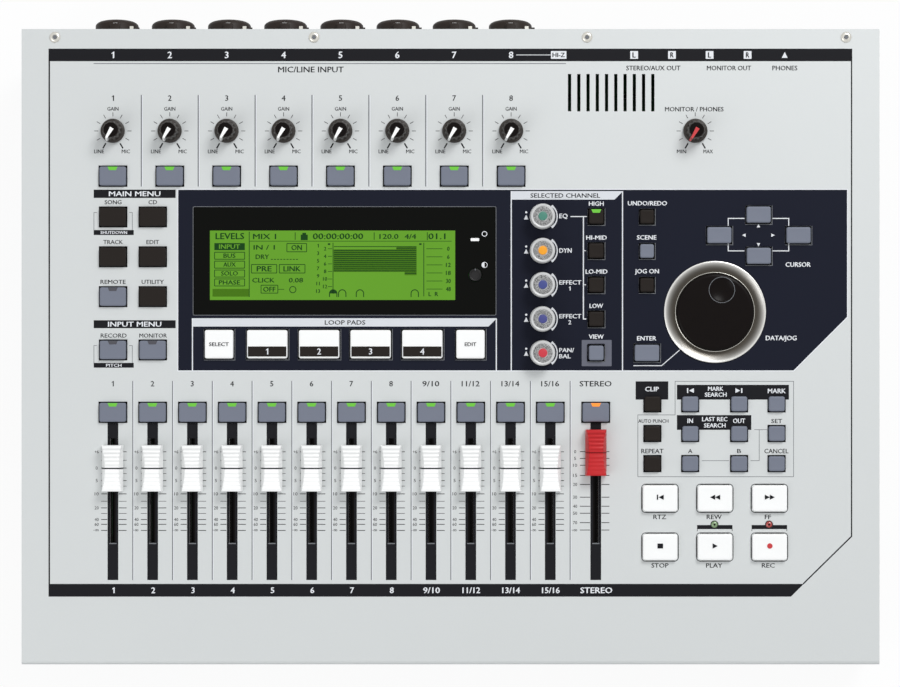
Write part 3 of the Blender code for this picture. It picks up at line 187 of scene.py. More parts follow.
# Print on the deck
FIELD_LEFT = -147.6
FIELD_RIGHT = 214.9
FIELD_REAR = 84.1
FIELD_FRONT = -13.8
FIELD_CHAMFER = 29.0
BAND_LEFT = -217.9
BAND_RIGHT = 217.7
TOP_BAND = (153.8, 160.6)
BOTTOM_BAND = (-136.4, -129.5)
BORDER_TURN = (-103.7, 191.4)
BORDER_WIDTH = 0.7
SLOT_STRIP = (-127.4, -42.3)
SLOT = (-107.5, -50.6)
SLOT_STRIP_WIDTH = 5.8
SLOT_WIDTH = 3.0
INPUT_LINES = (85.9, 135.5)
CHANNEL_LINES = (-127.4, -19.5)
THIN_LINE = 0.3


class Shape:
    """Points in millimetres, with the quads and triangles that join them."""

    def __init__(self, points, quads=(), triangles=()):
        self.points = np.asarray(points, float).reshape(-1, 3)
        self.quads = np.asarray(quads, int).reshape(-1, 4)
        self.triangles = np.asarray(triangles, int).reshape(-1, 3)

    def moved(self, u=0.0, v=0.0, n=0.0):
        """The same shape, shifted."""
        return Shape(self.points + (u, v, n), self.quads, self.triangles)

    def turned(self, degrees):
        """The same shape, turned about n, anticlockwise as seen from outside."""
        angle = math.radians(degrees)
        cosine = math.cos(angle)
        sine = math.sin(angle)
        matrix = np.array(((cosine, sine, 0), (-sine, cosine, 0), (0, 0, 1)))
        return Shape(self.points @ matrix, self.quads, self.triangles)


def joined(shapes):
    """One shape that holds all the given ones."""
    shapes = list(shapes)
    starts = np.cumsum([0] + [len(shape.points) for shape in shapes[:-1]])
    return Shape(np.concatenate([shape.points for shape in shapes]),
                 np.concatenate([shape.quads + start for shape, start in zip(shapes, starts)]),
                 np.concatenate([shape.triangles + start for shape, start in zip(shapes, starts)]))


def skin(rings, loop=False):
    """Surface over a grid of points: rows are rings that close on themselves.

    Each quad joins two neighbours of a ring with the same two of the next ring. The first and
    last ring are closed by fans about their mean point, or joined to each other for a loop.
    Rings run anticlockwise about the way from the first to the last."""
    rows, columns, _ = rings.shape
    index = np.arange(rows * columns).reshape(rows, columns)
    after = np.roll(index, -1, axis=1)
    lower = index if loop else index[:-1]
    quads = np.stack((lower, after[:len(lower)], np.roll(after, -1, axis=0)[:len(lower)],
                      np.roll(index, -1, axis=0)[:len(lower)]), axis=-1)
    points = rings.reshape(-1, 3)
    if loop:
        return Shape(points, quads)
    foot = np.full(columns, rows * columns)
    fans = np.concatenate((np.stack((after[0], index[0], foot), axis=-1),
                           np.stack((index[-1], after[-1], foot + 1), axis=-1)))
    return Shape(np.concatenate((points, rings[[0, -1]].mean(axis=1))), quads, fans)


def lathe(profile, sides=48, loop=False, flutes=0):
    """Surface turned about n: each radius and height of the profile becomes a circle.

    With flutes, the third number of each row is a depth, taken off the radius times the
    half-wave (1 + cos(flutes * angle)) / 2."""
    rows = np.array([(*row, 0.0)[:3] for row in profile], float)
    angle = np.linspace(0, math.tau, sides, endpoint=False)
    wave = (1 + np.cos(flutes * angle)) / 2
    radius = rows[:, :1] - rows[:, 2:] * wave
    height = np.repeat(rows[:, 1:2], sides, axis=1)
    return skin(np.stack((radius * np.cos(angle), radius * np.sin(angle), height), axis=-1), loop)


def rounded(width, depth, corner, steps=4):
    """Outline of a rectangle with round corners: a quarter circle about each corner's centre."""
    quarter = np.arange(4)[:, None] * math.pi / 2 + np.linspace(0, math.pi / 2, steps + 1)
    signs = np.array(((1, 1), (-1, 1), (-1, -1), (1, -1)))
    centres = signs * (width / 2 - corner, depth / 2 - corner)
    arcs = centres[:, None, :] + corner * np.stack((np.cos(quarter), np.sin(quarter)), axis=-1)
    return arcs.reshape(-1, 2)


def at_height(outline, height):
    """A flat outline lifted to a height."""
    return np.column_stack((outline, np.full(len(outline), height)))


def fillet(low, high, radius, steps=3):
    """Insets and heights of a wall that ends in a quarter round: r(1 - cos a) and r sin a."""
    angle = np.linspace(0, math.pi / 2, steps + 1)
    return [(0.0, low)] + list(zip(radius * (1 - np.cos(angle)), high - radius + radius * np.sin(angle)))


def cap(width, depth, corner, levels, dish=0.0):
    """A closed cap: its outline at each inset and height, then rings that shrink to the middle.

    The top sinks by dish times (1 - share squared), where share is the ring's scale."""
    rings = [at_height(rounded(width - 2 * inset, depth - 2 * inset, max(corner - inset, 0.05)), height)
             for inset, height in levels]
    edge = rings[-1]
    for share in (0.8, 0.55, 0.3):
        rings.append(edge * (share, share, 1) - (0, 0, dish * (1 - share * share)))
    return skin(np.array(rings))


def prism(outline, low, high):
    """A convex outline carried between two heights and closed at both ends."""
    outline = np.array(outline, float)
    return skin(np.array([at_height(outline, height) for height in (low, high)]))


def slab(low, high):
    """A box between two corners."""
    outline = ((low[0], low[1]), (high[0], low[1]), (high[0], high[1]), (low[0], high[1]))
    return prism(outline, low[2], high[2])


def tile(left, front, right, rear, low=-SUNK, high=INK):
    """A flat rectangle between its left, front, right and rear edges."""
    return slab((left, front, low), (right, rear, high))


def ribbon(left, right, low, high):
    """A flat band between its left and right edges, carried along the way that they run."""
    corners = (at_height(left, low), at_height(left, high), at_height(right, high), at_height(right, low))
    return skin(np.stack(corners, axis=1))


def stroke(path, width, low=-SUNK, high=INK):
    """A line of even width along a path: its edges lie half the width off, mitred at each corner.

    A mitre runs along the mean of the two neighbouring normals, longer by one over its cosine."""
    path = np.array(path, float)
    along = np.diff(path, axis=0)
    along /= np.linalg.norm(along, axis=1)[:, None]
    normal = np.column_stack((-along[:, 1], along[:, 0]))
    before = np.vstack((normal[:1], normal))
    after = np.vstack((normal, normal[-1:]))
    mitre = before + after
    mitre *= width / np.sum(mitre * before, axis=1)[:, None] / 2
    return ribbon(path + mitre, path - mitre, low, high)


def outline_stroke(outline, width, low=-SUNK, high=INK):
    """A line of even width round a closed convex outline, its inner edge on the outline."""
    outline = np.array(outline, float)
    along = np.roll(outline, -1, axis=0) - outline
    along /= np.linalg.norm(along, axis=1)[:, None]
    normal = np.column_stack((along[:, 1], -along[:, 0]))
    mitre = normal + np.roll(normal, 1, axis=0)
    mitre *= width / np.sum(mitre * normal, axis=1)[:, None]
    outer = outline + mitre
    corners = (at_height(outer, low), at_height(outer, high),
               at_height(outline, high), at_height(outline, low))
    return skin(np.stack(corners, axis=0), loop=True)


def sector(radius, width, start, end, low=-SUNK, high=INK, flare=0.0, steps=24):
    """A band along an arc between two angles, its inner edge drawn in by flare towards the ends."""
    angle = np.radians(np.linspace(start, end, steps + 1))
    ends = np.linspace(-1, 1, steps + 1) ** 4
    inner = radius - width / 2 - flare * ends
    outer = np.full(steps + 1, radius + width / 2)
    ray = np.column_stack((np.cos(angle), np.sin(angle)))
    return ribbon(ray * inner[:, None], ray * outer[:, None], low, high)


def disc(radius, low=-SUNK, high=INK, sides=32):
    """A thin round plate."""
    return lathe(((radius, low), (radius, high)), sides)


def spokes(angles, inner, outer, width, low=-SUNK, high=INK):
    """Short lines that point at the middle, at angles clockwise from the back."""
    line = slab((-width / 2, inner, low), (width / 2, outer, high))
    return joined(line.turned(-angle) for angle in angles)


def mesh_shape(mesh):
    """The shape of a mesh whose doubled points are merged."""
    form = bmesh.new()
    form.from_mesh(mesh)
    bmesh.ops.remove_doubles(form, verts=form.verts[:], dist=0.0005)
    form.to_mesh(mesh)
    form.free()
    mesh.calc_loop_triangles()
    points = np.empty(len(mesh.vertices) * 3)
    mesh.vertices.foreach_get("co", points)
    triangles = np.empty(len(mesh.loop_triangles) * 3, np.int32)
    mesh.loop_triangles.foreach_get("vertices", triangles)
    bpy.data.meshes.remove(mesh)
    return Shape(points, (), triangles)


def curve_shape(curve):
    """The shape of a text or a filled flat curve."""
    holder = bpy.data.objects.new(curve.name, curve)
    shape = mesh_shape(bpy.data.meshes.new_from_object(holder))
    bpy.data.objects.remove(holder)
    return shape


def sheet(outlines, low=-SUNK, high=INK):
    """A flat sheet filled inside its outlines; an outline within another is a hole in it."""
    curve = bpy.data.curves.new("sheet", "CURVE")
    curve.dimensions = "2D"
    curve.fill_mode = "BOTH"
    curve.extrude = (high - low) / 2
    for outline in outlines:
        spline = curve.splines.new("POLY")
        spline.points.add(len(outline) - 1)
        flat = np.column_stack((outline, np.zeros(len(outline)), np.ones(len(outline))))
        spline.points.foreach_set("co", flat.ravel())
        spline.use_cyclic_u = True
    return curve_shape(curve).moved(n=(low + high) / 2)


def letters(text):
    """A word from Blender's own font as thin plates one unit thick, its middle at nought."""
    if text == "1":
        return sheet([np.array(FLAGGED_ONE)], -0.5, 0.5)
    curve = bpy.data.curves.new("letters", "FONT")
    curve.body = text
    curve.resolution_u = 2
    curve.extrude = 0.5
    return curve_shape(curve)


# Outline of a numeral one with a flag, in the font's own units
FLAGGED_ONE = ((0.0, 0.0), (0.1, 0.0), (0.1, 0.69), (0.03, 0.69), (-0.14, 0.55), (-0.14, 0.46), (0.0, 0.54))
REGULAR = 0.025
FINE = 0.008
BOLD = 0.04
LETTER_HEIGHT = np.ptp(letters("H").points[:, 1])


def word(text, place, width, height, low=-SUNK, high=INK, weight=REGULAR):
    """A word scaled to its printed width and letter height, centred on a place.

    It is laid twice, a weight times its height to either side, so that its strokes thicken. A
    width of nought keeps the letters' own proportions."""
    shape = letters(text)
    low_corner = shape.points.min(axis=0)
    high_corner = shape.points.max(axis=0)
    shift = weight * height
    tall = (height - shift) / LETTER_HEIGHT
    wide = (width - 2 * shift) / (high_corner[0] - low_corner[0]) if width else tall
    points = (shape.points - (low_corner + high_corner) / 2) * (wide, tall, high - low)
    plate = Shape(points, (), shape.triangles).moved(*place, (low + high) / 2)
    return joined((plate.moved(-shift, -shift / 2), plate.moved(shift, shift / 2, THIN_STEP)))


def polygon(points, low=-SUNK, high=INK, scale=1.0):
    """A convex flat mark about the middle."""
    return prism(np.array(points) * scale, low, high)


ARROW = ((0.5, -0.5), (0.0, 0.5), (-0.5, -0.5))


class Value:
    """A number that changes over a surface; plain arithmetic on it adds the Math nodes."""

    def __init__(self, finish, socket):
        self.finish = finish
        self.socket = socket

    def math(self, operation, first, second):
        """One Math node."""
        return self.finish.node("Math", {"operation": operation}, {0: first, 1: second})

    def __add__(self, other):
        return self.math("ADD", self, other)

    def __radd__(self, other):
        return self.math("ADD", other, self)

    def __sub__(self, other):
        return self.math("SUBTRACT", self, other)

    def __rsub__(self, other):
        return self.math("SUBTRACT", other, self)

    def __mul__(self, other):
        return self.math("MULTIPLY", self, other)

    def __rmul__(self, other):
        return self.math("MULTIPLY", other, self)

    def __gt__(self, other):
        return self.math("GREATER_THAN", self, other)

    def __pow__(self, other):
        return self.math("POWER", self, other)


class Finish:
    """A material for one finish of the recorder, and the record's slot that it goes by."""

    def __init__(self, name, slot, colour, roughness, metallic=0.0, specular=0.5, **shader):
        self.slot = slot
        self.colour = (*colour, 1.0)
        self.material = bpy.data.materials.new(name)
        self.material.use_nodes = True
        self.tree = self.material.node_tree
        self.shader = self.tree.nodes["Principled BSDF"]
        self.feed("Base Color", self.colour)
        self.feed("Roughness", roughness)
        self.feed("Metallic", metallic)
        self.feed("Specular IOR Level", specular)
        for words, value in shader.items():
            self.feed(words.replace("_", " ").title(), value)
        self.spot = self.node("TexCoord", {}, {}, "Object")

    def feed(self, socket, value):
        """Sets or links a socket of the shader."""
        self.connect(self.shader.inputs[socket], value)

    def connect(self, target, value):
        """Sets a socket to a value, or links it where the value comes from a node."""
        if isinstance(value, Value):
            self.tree.links.new(value.socket, target)
        else:
            target.default_value = value

    def node(self, kind, settings, sockets, output=0):
        """Adds a node: its type, its settings, and the values or links of its sockets."""
        made = self.tree.nodes.new("ShaderNode" + kind)
        for name, value in settings.items():
            setattr(made, name, value)
        for name, value in sockets.items():
            self.connect(made.inputs[name], value)
        return Value(self, made.outputs[output])

    def noise(self, size, detail=2.0, roughness=0.5):
        """Smooth noise from 0 to 1 whose patches are about so many millimetres across."""
        return self.node("TexNoise", {}, {"Vector": self.spot, "Scale": 1 / (size * MM), "Detail": detail,
                                          "Roughness": roughness})

    def stretched_noise(self, sizes, detail=2.0):
        """Noise drawn out along the axes, by patch sizes in millimetres."""
        scale = [1 / (size * MM) for size in sizes]
        scaled = self.node("Mapping", {}, {"Vector": self.spot, "Scale": scale})
        return self.node("TexNoise", {}, {"Vector": scaled, "Scale": 1.0, "Detail": detail})

    def cells(self, size):
        """A random number from 0 to 1 for each flake of about so many millimetres."""
        flakes = self.node("TexVoronoi", {}, {"Vector": self.spot, "Scale": 1 / (size * MM)}, "Color")
        return self.node("SeparateColor", {}, {"Color": flakes})

    def mix(self, share, first, second):
        """A colour between two, by a share from 0 to 1."""
        first = first if isinstance(first, Value) else (*first[:3], 1.0)
        second = second if isinstance(second, Value) else (*second[:3], 1.0)
        return self.node("Mix", {"data_type": "RGBA"}, {0: share, 6: first, 7: second}, 2)

    def shade(self, share, factor):
        """The finish's own colour, times a factor where the share is 1."""
        return self.mix(share, self.colour, [part * factor for part in self.colour[:3]])

    def bump(self, height, depth, strength=1.0):
        """Lifts the surface by a height from 0 to 1 times a depth in millimetres."""
        lifted = self.node("Bump", {}, {"Height": height, "Distance": depth * MM, "Strength": strength})
        self.feed("Normal", lifted)

    def axis(self, face, direction):
        """Millimetres along one of a face's directions."""
        line = Vector(face.axes[direction])
        dot = self.node("VectorMath", {"operation": "DOT_PRODUCT"}, {0: self.spot, 1: line}, "Value")
        return (dot - float(face.middle @ face.axes[direction])) * (1 / MM)

    def radius(self, face, place):
        """Millimetres from an axis that stands on a face."""
        u = self.axis(face, 0) - float(place[0])
        v = self.axis(face, 1) - float(place[1])
        return (u * u + v * v) ** 0.5


FINISHES = {}


def settings():
    """The sizes and colours that the panel shows."""
    return bpy.context.scene.recorder_colours, bpy.context.scene.recorder_sizes


def paint(name, slot, colour, roughness, metallic, flake=0.35, mottle=0.96):
    """Satin metallic paint: bright flakes, slow cloudiness and an orange-peel skin."""
    finish = Finish(name, slot, colour, roughness, metallic)
    cloud = finish.noise(45.0, 3.0)
    flakes = finish.cells(flake)
    finish.feed("Base Color", finish.mix(flakes * 0.35, finish.shade(cloud, mottle),
                                         [part * 1.04 for part in colour]))
    finish.feed("Roughness", flakes * 0.12 + (roughness - 0.06) + cloud * 0.06)
    finish.bump(finish.noise(0.9, 2.0), 0.010)
    FINISHES[name] = finish


def ink(name, slot, colour, roughness=0.5):
    """Silk-screened matt ink: fine grain of the mesh, and tiny pits where the paint shows less."""
    finish = Finish(name, slot, colour, roughness, specular=0.1)
    grain = finish.noise(0.22, 2.0)
    finish.feed("Base Color", finish.shade(grain, 0.9))
    finish.feed("Roughness", grain * 0.14 + (roughness - 0.07))
    finish.bump(grain, 0.004)
    FINISHES[name] = finish


def plastic(name, slot, colour, roughness, grain=0.25, depth=0.012, wear=1.06, **shader):
    """Moulded plastic: spark-eroded grain, slight cloudiness of the resin and handled sheen."""
    finish = Finish(name, slot, colour, roughness, **shader)
    fine = finish.noise(grain, 3.0, 0.6)
    slow = finish.noise(7.0, 2.0)
    finish.feed("Base Color", finish.shade(slow * 0.7 + fine * 0.3, wear))
    finish.feed("Roughness", slow * 0.16 + fine * 0.08 + (roughness - 0.12))
    finish.bump(fine, depth)
    FINISHES[name] = finish


def metal(name, slot, colour, roughness, sizes=(0.3, 12.0, 0.3)):
    """Brushed or rolled metal: streaks drawn out along one axis."""
    finish = Finish(name, slot, colour, roughness, 1.0)
    streak = finish.stretched_noise(sizes, 3.0)
    finish.feed("Base Color", finish.shade(streak, 0.82))
    finish.feed("Roughness", streak * 0.22 + (roughness - 0.1))
    finish.bump(streak, 0.004)
    FINISHES[name] = finish


def turned(name, slot, colour, roughness, metallic, place, pitch=0.45):
    """A lathe-turned dish: rings about its axis, with painted reflection in its colour: a painted highlight
    at the outer rim and painted shade that deepens towards the dial.

    The share of the painted highlight is the cube of (radius - dial) / (rim - dial)."""
    finish = Finish(name, slot, colour, roughness, metallic)
    radius = finish.radius(DECK, place)
    # Painted highlight: the colour is bright at the outer rim and falls to painted shade towards the dial
    bright = ((radius - JOG_DIAL - 0.6) * (1 / (JOG_RIM - JOG_DIAL - 1.0))) ** 3.0
    line = finish.node("CombineXYZ", {}, {"X": radius * (1 / pitch)})
    rings = finish.node("TexNoise", {}, {"Vector": line, "Scale": 1.0, "Detail": 4.0})
    cloud = finish.noise(6.0)
    worn = finish.shade(rings * 0.7 + cloud * 0.3, 0.86)
    painted_shade_colour = [part * share for part, share in zip(colour, JOG_PAINTED_SHADE)]
    finish.feed("Base Color", finish.mix(bright, painted_shade_colour, worn))
    finish.feed("Roughness", rings * 0.18 + (roughness - 0.08))
    finish.bump(rings, 0.006)
    FINISHES[name] = finish


def speckle(name, slot, colour):
    """Cast texture in a lacquered metal: pale pits and dark flecks in turn."""
    finish = Finish(name, slot, colour, 0.45, 0.2)
    flecks = finish.noise(0.55, 1.0)
    dark = finish.mix(flecks > 0.52, [part * 0.55 for part in colour], [part * 0.13 for part in colour])
    finish.feed("Base Color", finish.mix(finish.noise(1.3) > 0.55, dark, [part * 0.32 for part in colour]))
    finish.bump(flecks, 0.05)
    FINISHES[name] = finish


def lamp(name, slot, colour, glow, strength):
    """A lit lamp window: a bright core that fades towards its edges in a frosted lens."""
    finish = Finish(name, slot, colour, 0.35)
    frost = finish.noise(0.8)
    finish.feed("Base Color", finish.shade(frost, 0.8))
    finish.feed("Emission Color", finish.mix(frost, glow, [part * 0.75 for part in glow]))
    finish.feed("Emission Strength", strength)
    FINISHES[name] = finish


def gloss(name, slot, colour):
    """A gloss lens: clear coat over black, with faint wipe marks in the sheen."""
    finish = Finish(name, slot, colour, 0.08, specular=0.05, coat_weight=0.04, coat_roughness=0.04)
    wiped = finish.stretched_noise((30.0, 5.0, 30.0), 4.0)
    finish.feed("Roughness", wiped * 0.06 + 0.05)
    finish.feed("Base Color", finish.shade(wiped, 1.15))
    FINISHES[name] = finish


def screen(name, slot, colour, glow):
    """A backlit liquid crystal: a fine grid of dots, brighter towards the middle of the light."""
    finish = Finish(name, slot, [part * 0.2 for part in colour], 0.25, specular=0.2, coat_weight=0.1)
    dots = []
    for direction in (0, 1):
        phase = finish.axis(DECK, direction) * (math.tau / DOT_PITCH)
        dots.append(finish.node("Math", {"operation": "SINE"}, {0: phase}))
    grid = (dots[0] * 0.5 + dots[1] * 0.5) * 0.5 + 0.5
    cloud = finish.noise(40.0, 1.0)
    lit = finish.mix(cloud, glow, [part * 0.86 for part in glow])
    finish.feed("Base Color", finish.shade(grid, 0.93))
    finish.feed("Emission Color", finish.mix(grid * 0.12, lit, [part * 0.5 for part in glow]))
    finish.feed("Emission Strength", 0.85)
    FINISHES[name] = finish


def board(name, slot, colour):
    """Solder mask over tracks: raised lines in a slightly lighter green."""
    finish = Finish(name, slot, colour, 0.4)
    tracks = finish.stretched_noise((1.2, 14.0, 4.0), 1.0)
    lines = tracks > 0.52
    finish.feed("Base Color", finish.shade(lines, 1.7))
    finish.feed("Roughness", finish.noise(2.0) * 0.2 + 0.3)
    finish.bump(lines, 0.03)
    FINISHES[name] = finish


def make_finishes():
    """All the finishes, in the panel's colours."""
    colours, sizes = settings()
    paint("silver_paint", "silver_paint", colours.silver, sizes.paint_roughness, sizes.paint_metallic,
          sizes.flake / MM)
    paint("header_silver", "silver_paint", colours.header, 0.45, 0.1)
    paint("case_paint", "case_paint", colours.case, 0.5, 0.4)
    ink("dark_ink", "black_plastic", colours.dark_ink)
    ink("black_ink", "black_plastic", colours.black_ink)
    ink("white_ink", "white_key", colours.white_ink, 0.45)
    ink("grey_ink", "silver_plastic", colours.grey_ink)
    ink("frame_ink", "grey_key", colours.frame_ink)
    plastic("grey_key", "grey_key", colours.grey_key, 0.5, specular=0.35)
    plastic("dark_key", "dark_key", colours.dark_key, 0.45, specular=0.12)
    plastic("white_key", "white_key", colours.white_key, 0.4, depth=0.006, wear=0.97)
    plastic("white_cap", "white_cap", colours.white_key, 0.38, depth=0.006, wear=0.97)
    plastic("red_cap", "red_cap", colours.red_cap, 0.4, depth=0.006, wear=1.1, specular=0.2)
    plastic("knob_plastic", "knob_plastic", colours.knob, 0.42, specular=0.25)
    plastic("black_plastic", "black_plastic", colours.black_plastic, 0.42, specular=0.25)
    plastic("rubber", "rubber", colours.rubber, 0.85, grain=0.5, depth=0.03, wear=1.4, specular=0.2)
    plastic("pointer_white", "white_key", colours.white_key, 0.4, depth=0.004, wear=0.98)
    plastic("pointer_red", "red_cap", colours.red_pointer, 0.4, depth=0.004)
    plastic("dark_red", "red_cap", [part * 0.4 for part in colours.red_cap], 0.5, specular=0.1)
    plastic("dial_black", "black_plastic", colours.dial, 0.3, grain=0.3, specular=0.08)
    plastic("jack_black", "black_plastic", colours.jack, 0.5, grain=0.4, depth=0.02, wear=1.3, specular=0.2)
    metal("steel", "steel", colours.steel, 0.35)
    metal("nickel", "steel", colours.nickel, 0.28, (0.4, 0.4, 0.4))
    turned("jog_silver", "silver_plastic", colours.jog_ring, 0.3, 0.75, JOG_FROM_MIDDLE)
    plastic("bright_plastic", "silver_plastic", colours.bright, 0.32, grain=0.2, depth=0.01, wear=0.9)
    speckle("speckle", "silver_plastic", colours.bright)
    lamp("green_lamp", "white_key", linear(60, 120, 30), linear(106, 196, 52), 0.8)
    lamp("amber_lamp", "white_key", linear(200, 110, 40), linear(244, 146, 44), 0.8)
    plastic("green_lens", "white_key", linear(128, 158, 112), 0.2, wear=0.8, coat_weight=0.6)
    plastic("red_lens", "red_cap", linear(168, 48, 40), 0.2, wear=0.8, coat_weight=0.6)
    plastic("smoke_lens", "window", linear(62, 62, 72), 0.2, wear=0.8, coat_weight=0.5)
    gloss("window", "window", colours.window)
    screen("screen", "screen", colours.screen, colours.screen)
    ink("screen_ink", "screen", colours.screen_ink, 0.3)
    ink("screen_shade", "screen", [part * 0.52 for part in colours.screen], 0.3)
    board("board", "board", colours.board)
    for name, dot in zip(("teal", "orange", "blue", "violet", "crimson"), ENCODER_DOTS):
        plastic(f"{name}_dot", "silver_plastic", dot, 0.4, depth=0.004)


ENCODER_DOTS = (linear(68, 128, 112), linear(240, 160, 30), linear(58, 68, 132),
                linear(62, 66, 130), linear(198, 48, 62))


def piece(name, shape, finish, body="chassis", face=DECK, stands_for=(), sharp=32.0):
    """A named mesh from a shape on a face, in its finish, that rides on a body."""
    mesh = bpy.data.meshes.new(name)
    mesh.from_pydata(face.world(shape.points).tolist(), [], shape.quads.tolist() + shape.triangles.tolist())
    mesh.materials.append(FINISHES[finish].material)
    mesh.shade_smooth()
    mesh.set_sharp_from_angle(angle=math.radians(sharp))
    made = bpy.data.objects.new(name, mesh)
    bpy.context.scene.collection.objects.link(made)
    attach(made, body)
    if stands_for:
        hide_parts(*stands_for)
    return made


def colour(name, description, *parts):
    """A colour property of the panel, given as 0 to 255."""
    return bpy.props.FloatVectorProperty(name=name, description=description, default=linear(*parts),
                                         subtype="COLOR", size=3, min=0.0, max=1.0)


class RecorderColours(bpy.types.PropertyGroup):
    """Colours of the recorder's finishes."""

    silver: colour("Silver", "Satin paint of the deck", 208, 211, 211)
    header: colour("Header", "Pale bars in the dark field", 214, 217, 222)
    case: colour("Case", "Paint of the case and the rear panel", 96, 99, 105)
    dark_ink: colour("Dark ink", "Field printed on the deck", 21, 24, 38)
    black_ink: colour("Black ink", "Bands, words and label blocks on silver", 25, 25, 29)
    white_ink: colour("White ink", "Words and lines on the dark field", 236, 238, 242)
    grey_ink: colour("Grey ink", "Thin lines on silver", 120, 122, 126)
    frame_ink: colour("Frame ink", "Frame round the view key", 108, 110, 122)
    grey_key: colour("Grey keys", "Slate grey keys", 113, 118, 132)
    dark_key: colour("Dark keys", "Black keys", 33, 28, 25)
    white_key: colour("White keys", "White keys and fader caps", 254, 254, 253)
    red_cap: colour("Red cap", "Cap of the stereo fader", 190, 39, 43)
    red_pointer: colour("Red pointer", "Pointer of the monitor knob", 196, 52, 56)
    knob: colour("Knobs", "Black pointer knobs", 54, 50, 47)
    black_plastic: colour("Black plastic", "Trays, levers and mats", 24, 23, 24)
    dial: colour("Dial", "Jog dial", 13, 8, 7)
    jack: colour("Jacks", "Noses of the input jacks", 40, 32, 28)
    rubber: colour("Rubber", "Feet and key mats", 26, 25, 26)
    steel: colour("Steel", "Drives and brackets", 190, 192, 194)
    nickel: colour("Nickel", "Screws, nuts and contacts", 216, 214, 206)
    jog_ring: colour("Jog ring", "Turned ring round the jog dial", 232, 231, 227)
    bright: colour("Encoders", "Lacquered caps of the encoders", 212, 212, 212)
    window: colour("Window", "Gloss black display window", 5, 6, 4)
    screen: colour("Screen", "Backlit screen", 98, 160, 31)
    screen_ink: colour("Screen ink", "Dark marks on the screen", 22, 66, 22)
    board: colour("Boards", "Circuit boards", 22, 92, 52)


class RecorderSizes(bpy.types.PropertyGroup):
    """Sizes and amounts that a user would change."""

    paint_roughness: bpy.props.FloatProperty(
        name="Paint roughness", description="How satin the silver paint is", default=0.42,
        min=0.0, max=1.0, subtype="FACTOR")
    paint_metallic: bpy.props.FloatProperty(
        name="Paint metal", description="How metallic the silver paint is", default=0.25,
        min=0.0, max=1.0, subtype="FACTOR")
    flake: bpy.props.FloatProperty(
        name="Flake", description="Size of the flakes in the silver paint", default=0.00035,
        min=0.0, unit="LENGTH", precision=5)
    key_round: bpy.props.FloatProperty(
        name="Key edge", description="Radius of the rounded edge of a key", default=0.0007,
        min=0.0001, unit="LENGTH", precision=5)
    knob_flutes: bpy.props.IntProperty(
        name="Knob flutes", description="Flutes round the grip of a pointer knob", default=12, min=3)
    cap_ribs: bpy.props.IntProperty(
        name="Cap ribs", description="Ribs on each half of a fader cap", default=5, min=1)


class RecorderStage(bpy.types.PropertyGroup):
    """The floor, the lights and the camera."""

    floor: colour("Floor", "Plain pale floor", 244, 245, 246)
    camera_distance: bpy.props.FloatProperty(
        name="Camera distance", description="From the deck to the lens", default=2.2,
        min=0.3, unit="LENGTH")
    lamp_power: bpy.props.FloatProperty(
        name="Lamp power", description="Power of the main soft lamp", default=28.0, min=0.0, unit="POWER")
    sky: bpy.props.FloatProperty(
        name="Sky", description="Strength of the even light from all round", default=0.5, min=0.0)


class RecorderOperator:
    """What every operator of the recorder shares."""

    bl_options = {"REGISTER", "UNDO"}


class MakeFinishes(RecorderOperator, bpy.types.Operator):
    """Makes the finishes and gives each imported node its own"""

    bl_idname = "recorder.make_finishes"
    bl_label = "Finishes"

    NODES = {
        "silver_paint": ("top_panel",),
        "case_paint": ("bottom_case", "rear_panel"),
        "board": ("panel_board", "main_board"),
        "steel": ("cd_drive", "hard_disk"),
        "window": ("display_window",),
        "screen": ("lcd_module",),
        "black_plastic": ("cd_tray", "standby_button", "input_jacks", "contrast_knob"),
    }

    def execute(self, context):
        make_finishes()
        for finish, nodes in self.NODES.items():
            for node in nodes:
                slots = frame["nodes"][node].material_slots
                for slot in slots:
                    slot.material = FINISHES[finish].material
        return {"FINISHED"}


def key_hole(place, size, grow=0.0):
    """Outline of a key's hole in the deck."""
    return rounded(size[0] + 2 * grow, size[1] + 2 * grow, 0.5 + grow, 2) + place


def field_keys():
    """Place and hole of every key in the dark field."""
    keys = [((u, PADS_ROW), PAD_END) for u in PAD_ENDS]
    keys += [((u, PADS_ROW), PAD_LONG) for u in PAD_MIDDLES]
    keys += [((BAND_COLUMN, v), BAND_KEY) for _, v in ENCODERS]
    keys += [((EDIT_COLUMN, v), EDIT_KEY) for v in EDIT_ROWS]
    keys += [((EDIT_COLUMN, ENTER_ROW), ENTER_KEY)]
    keys += [(place, CURSOR_KEY) for place in CURSORS]
    return keys


def circle(radius, place=(0, 0), sides=48):
    """Points on a circle about a place."""
    angle = np.linspace(0, math.tau, sides, endpoint=False)
    return np.column_stack((np.cos(angle), np.sin(angle))) * radius + place


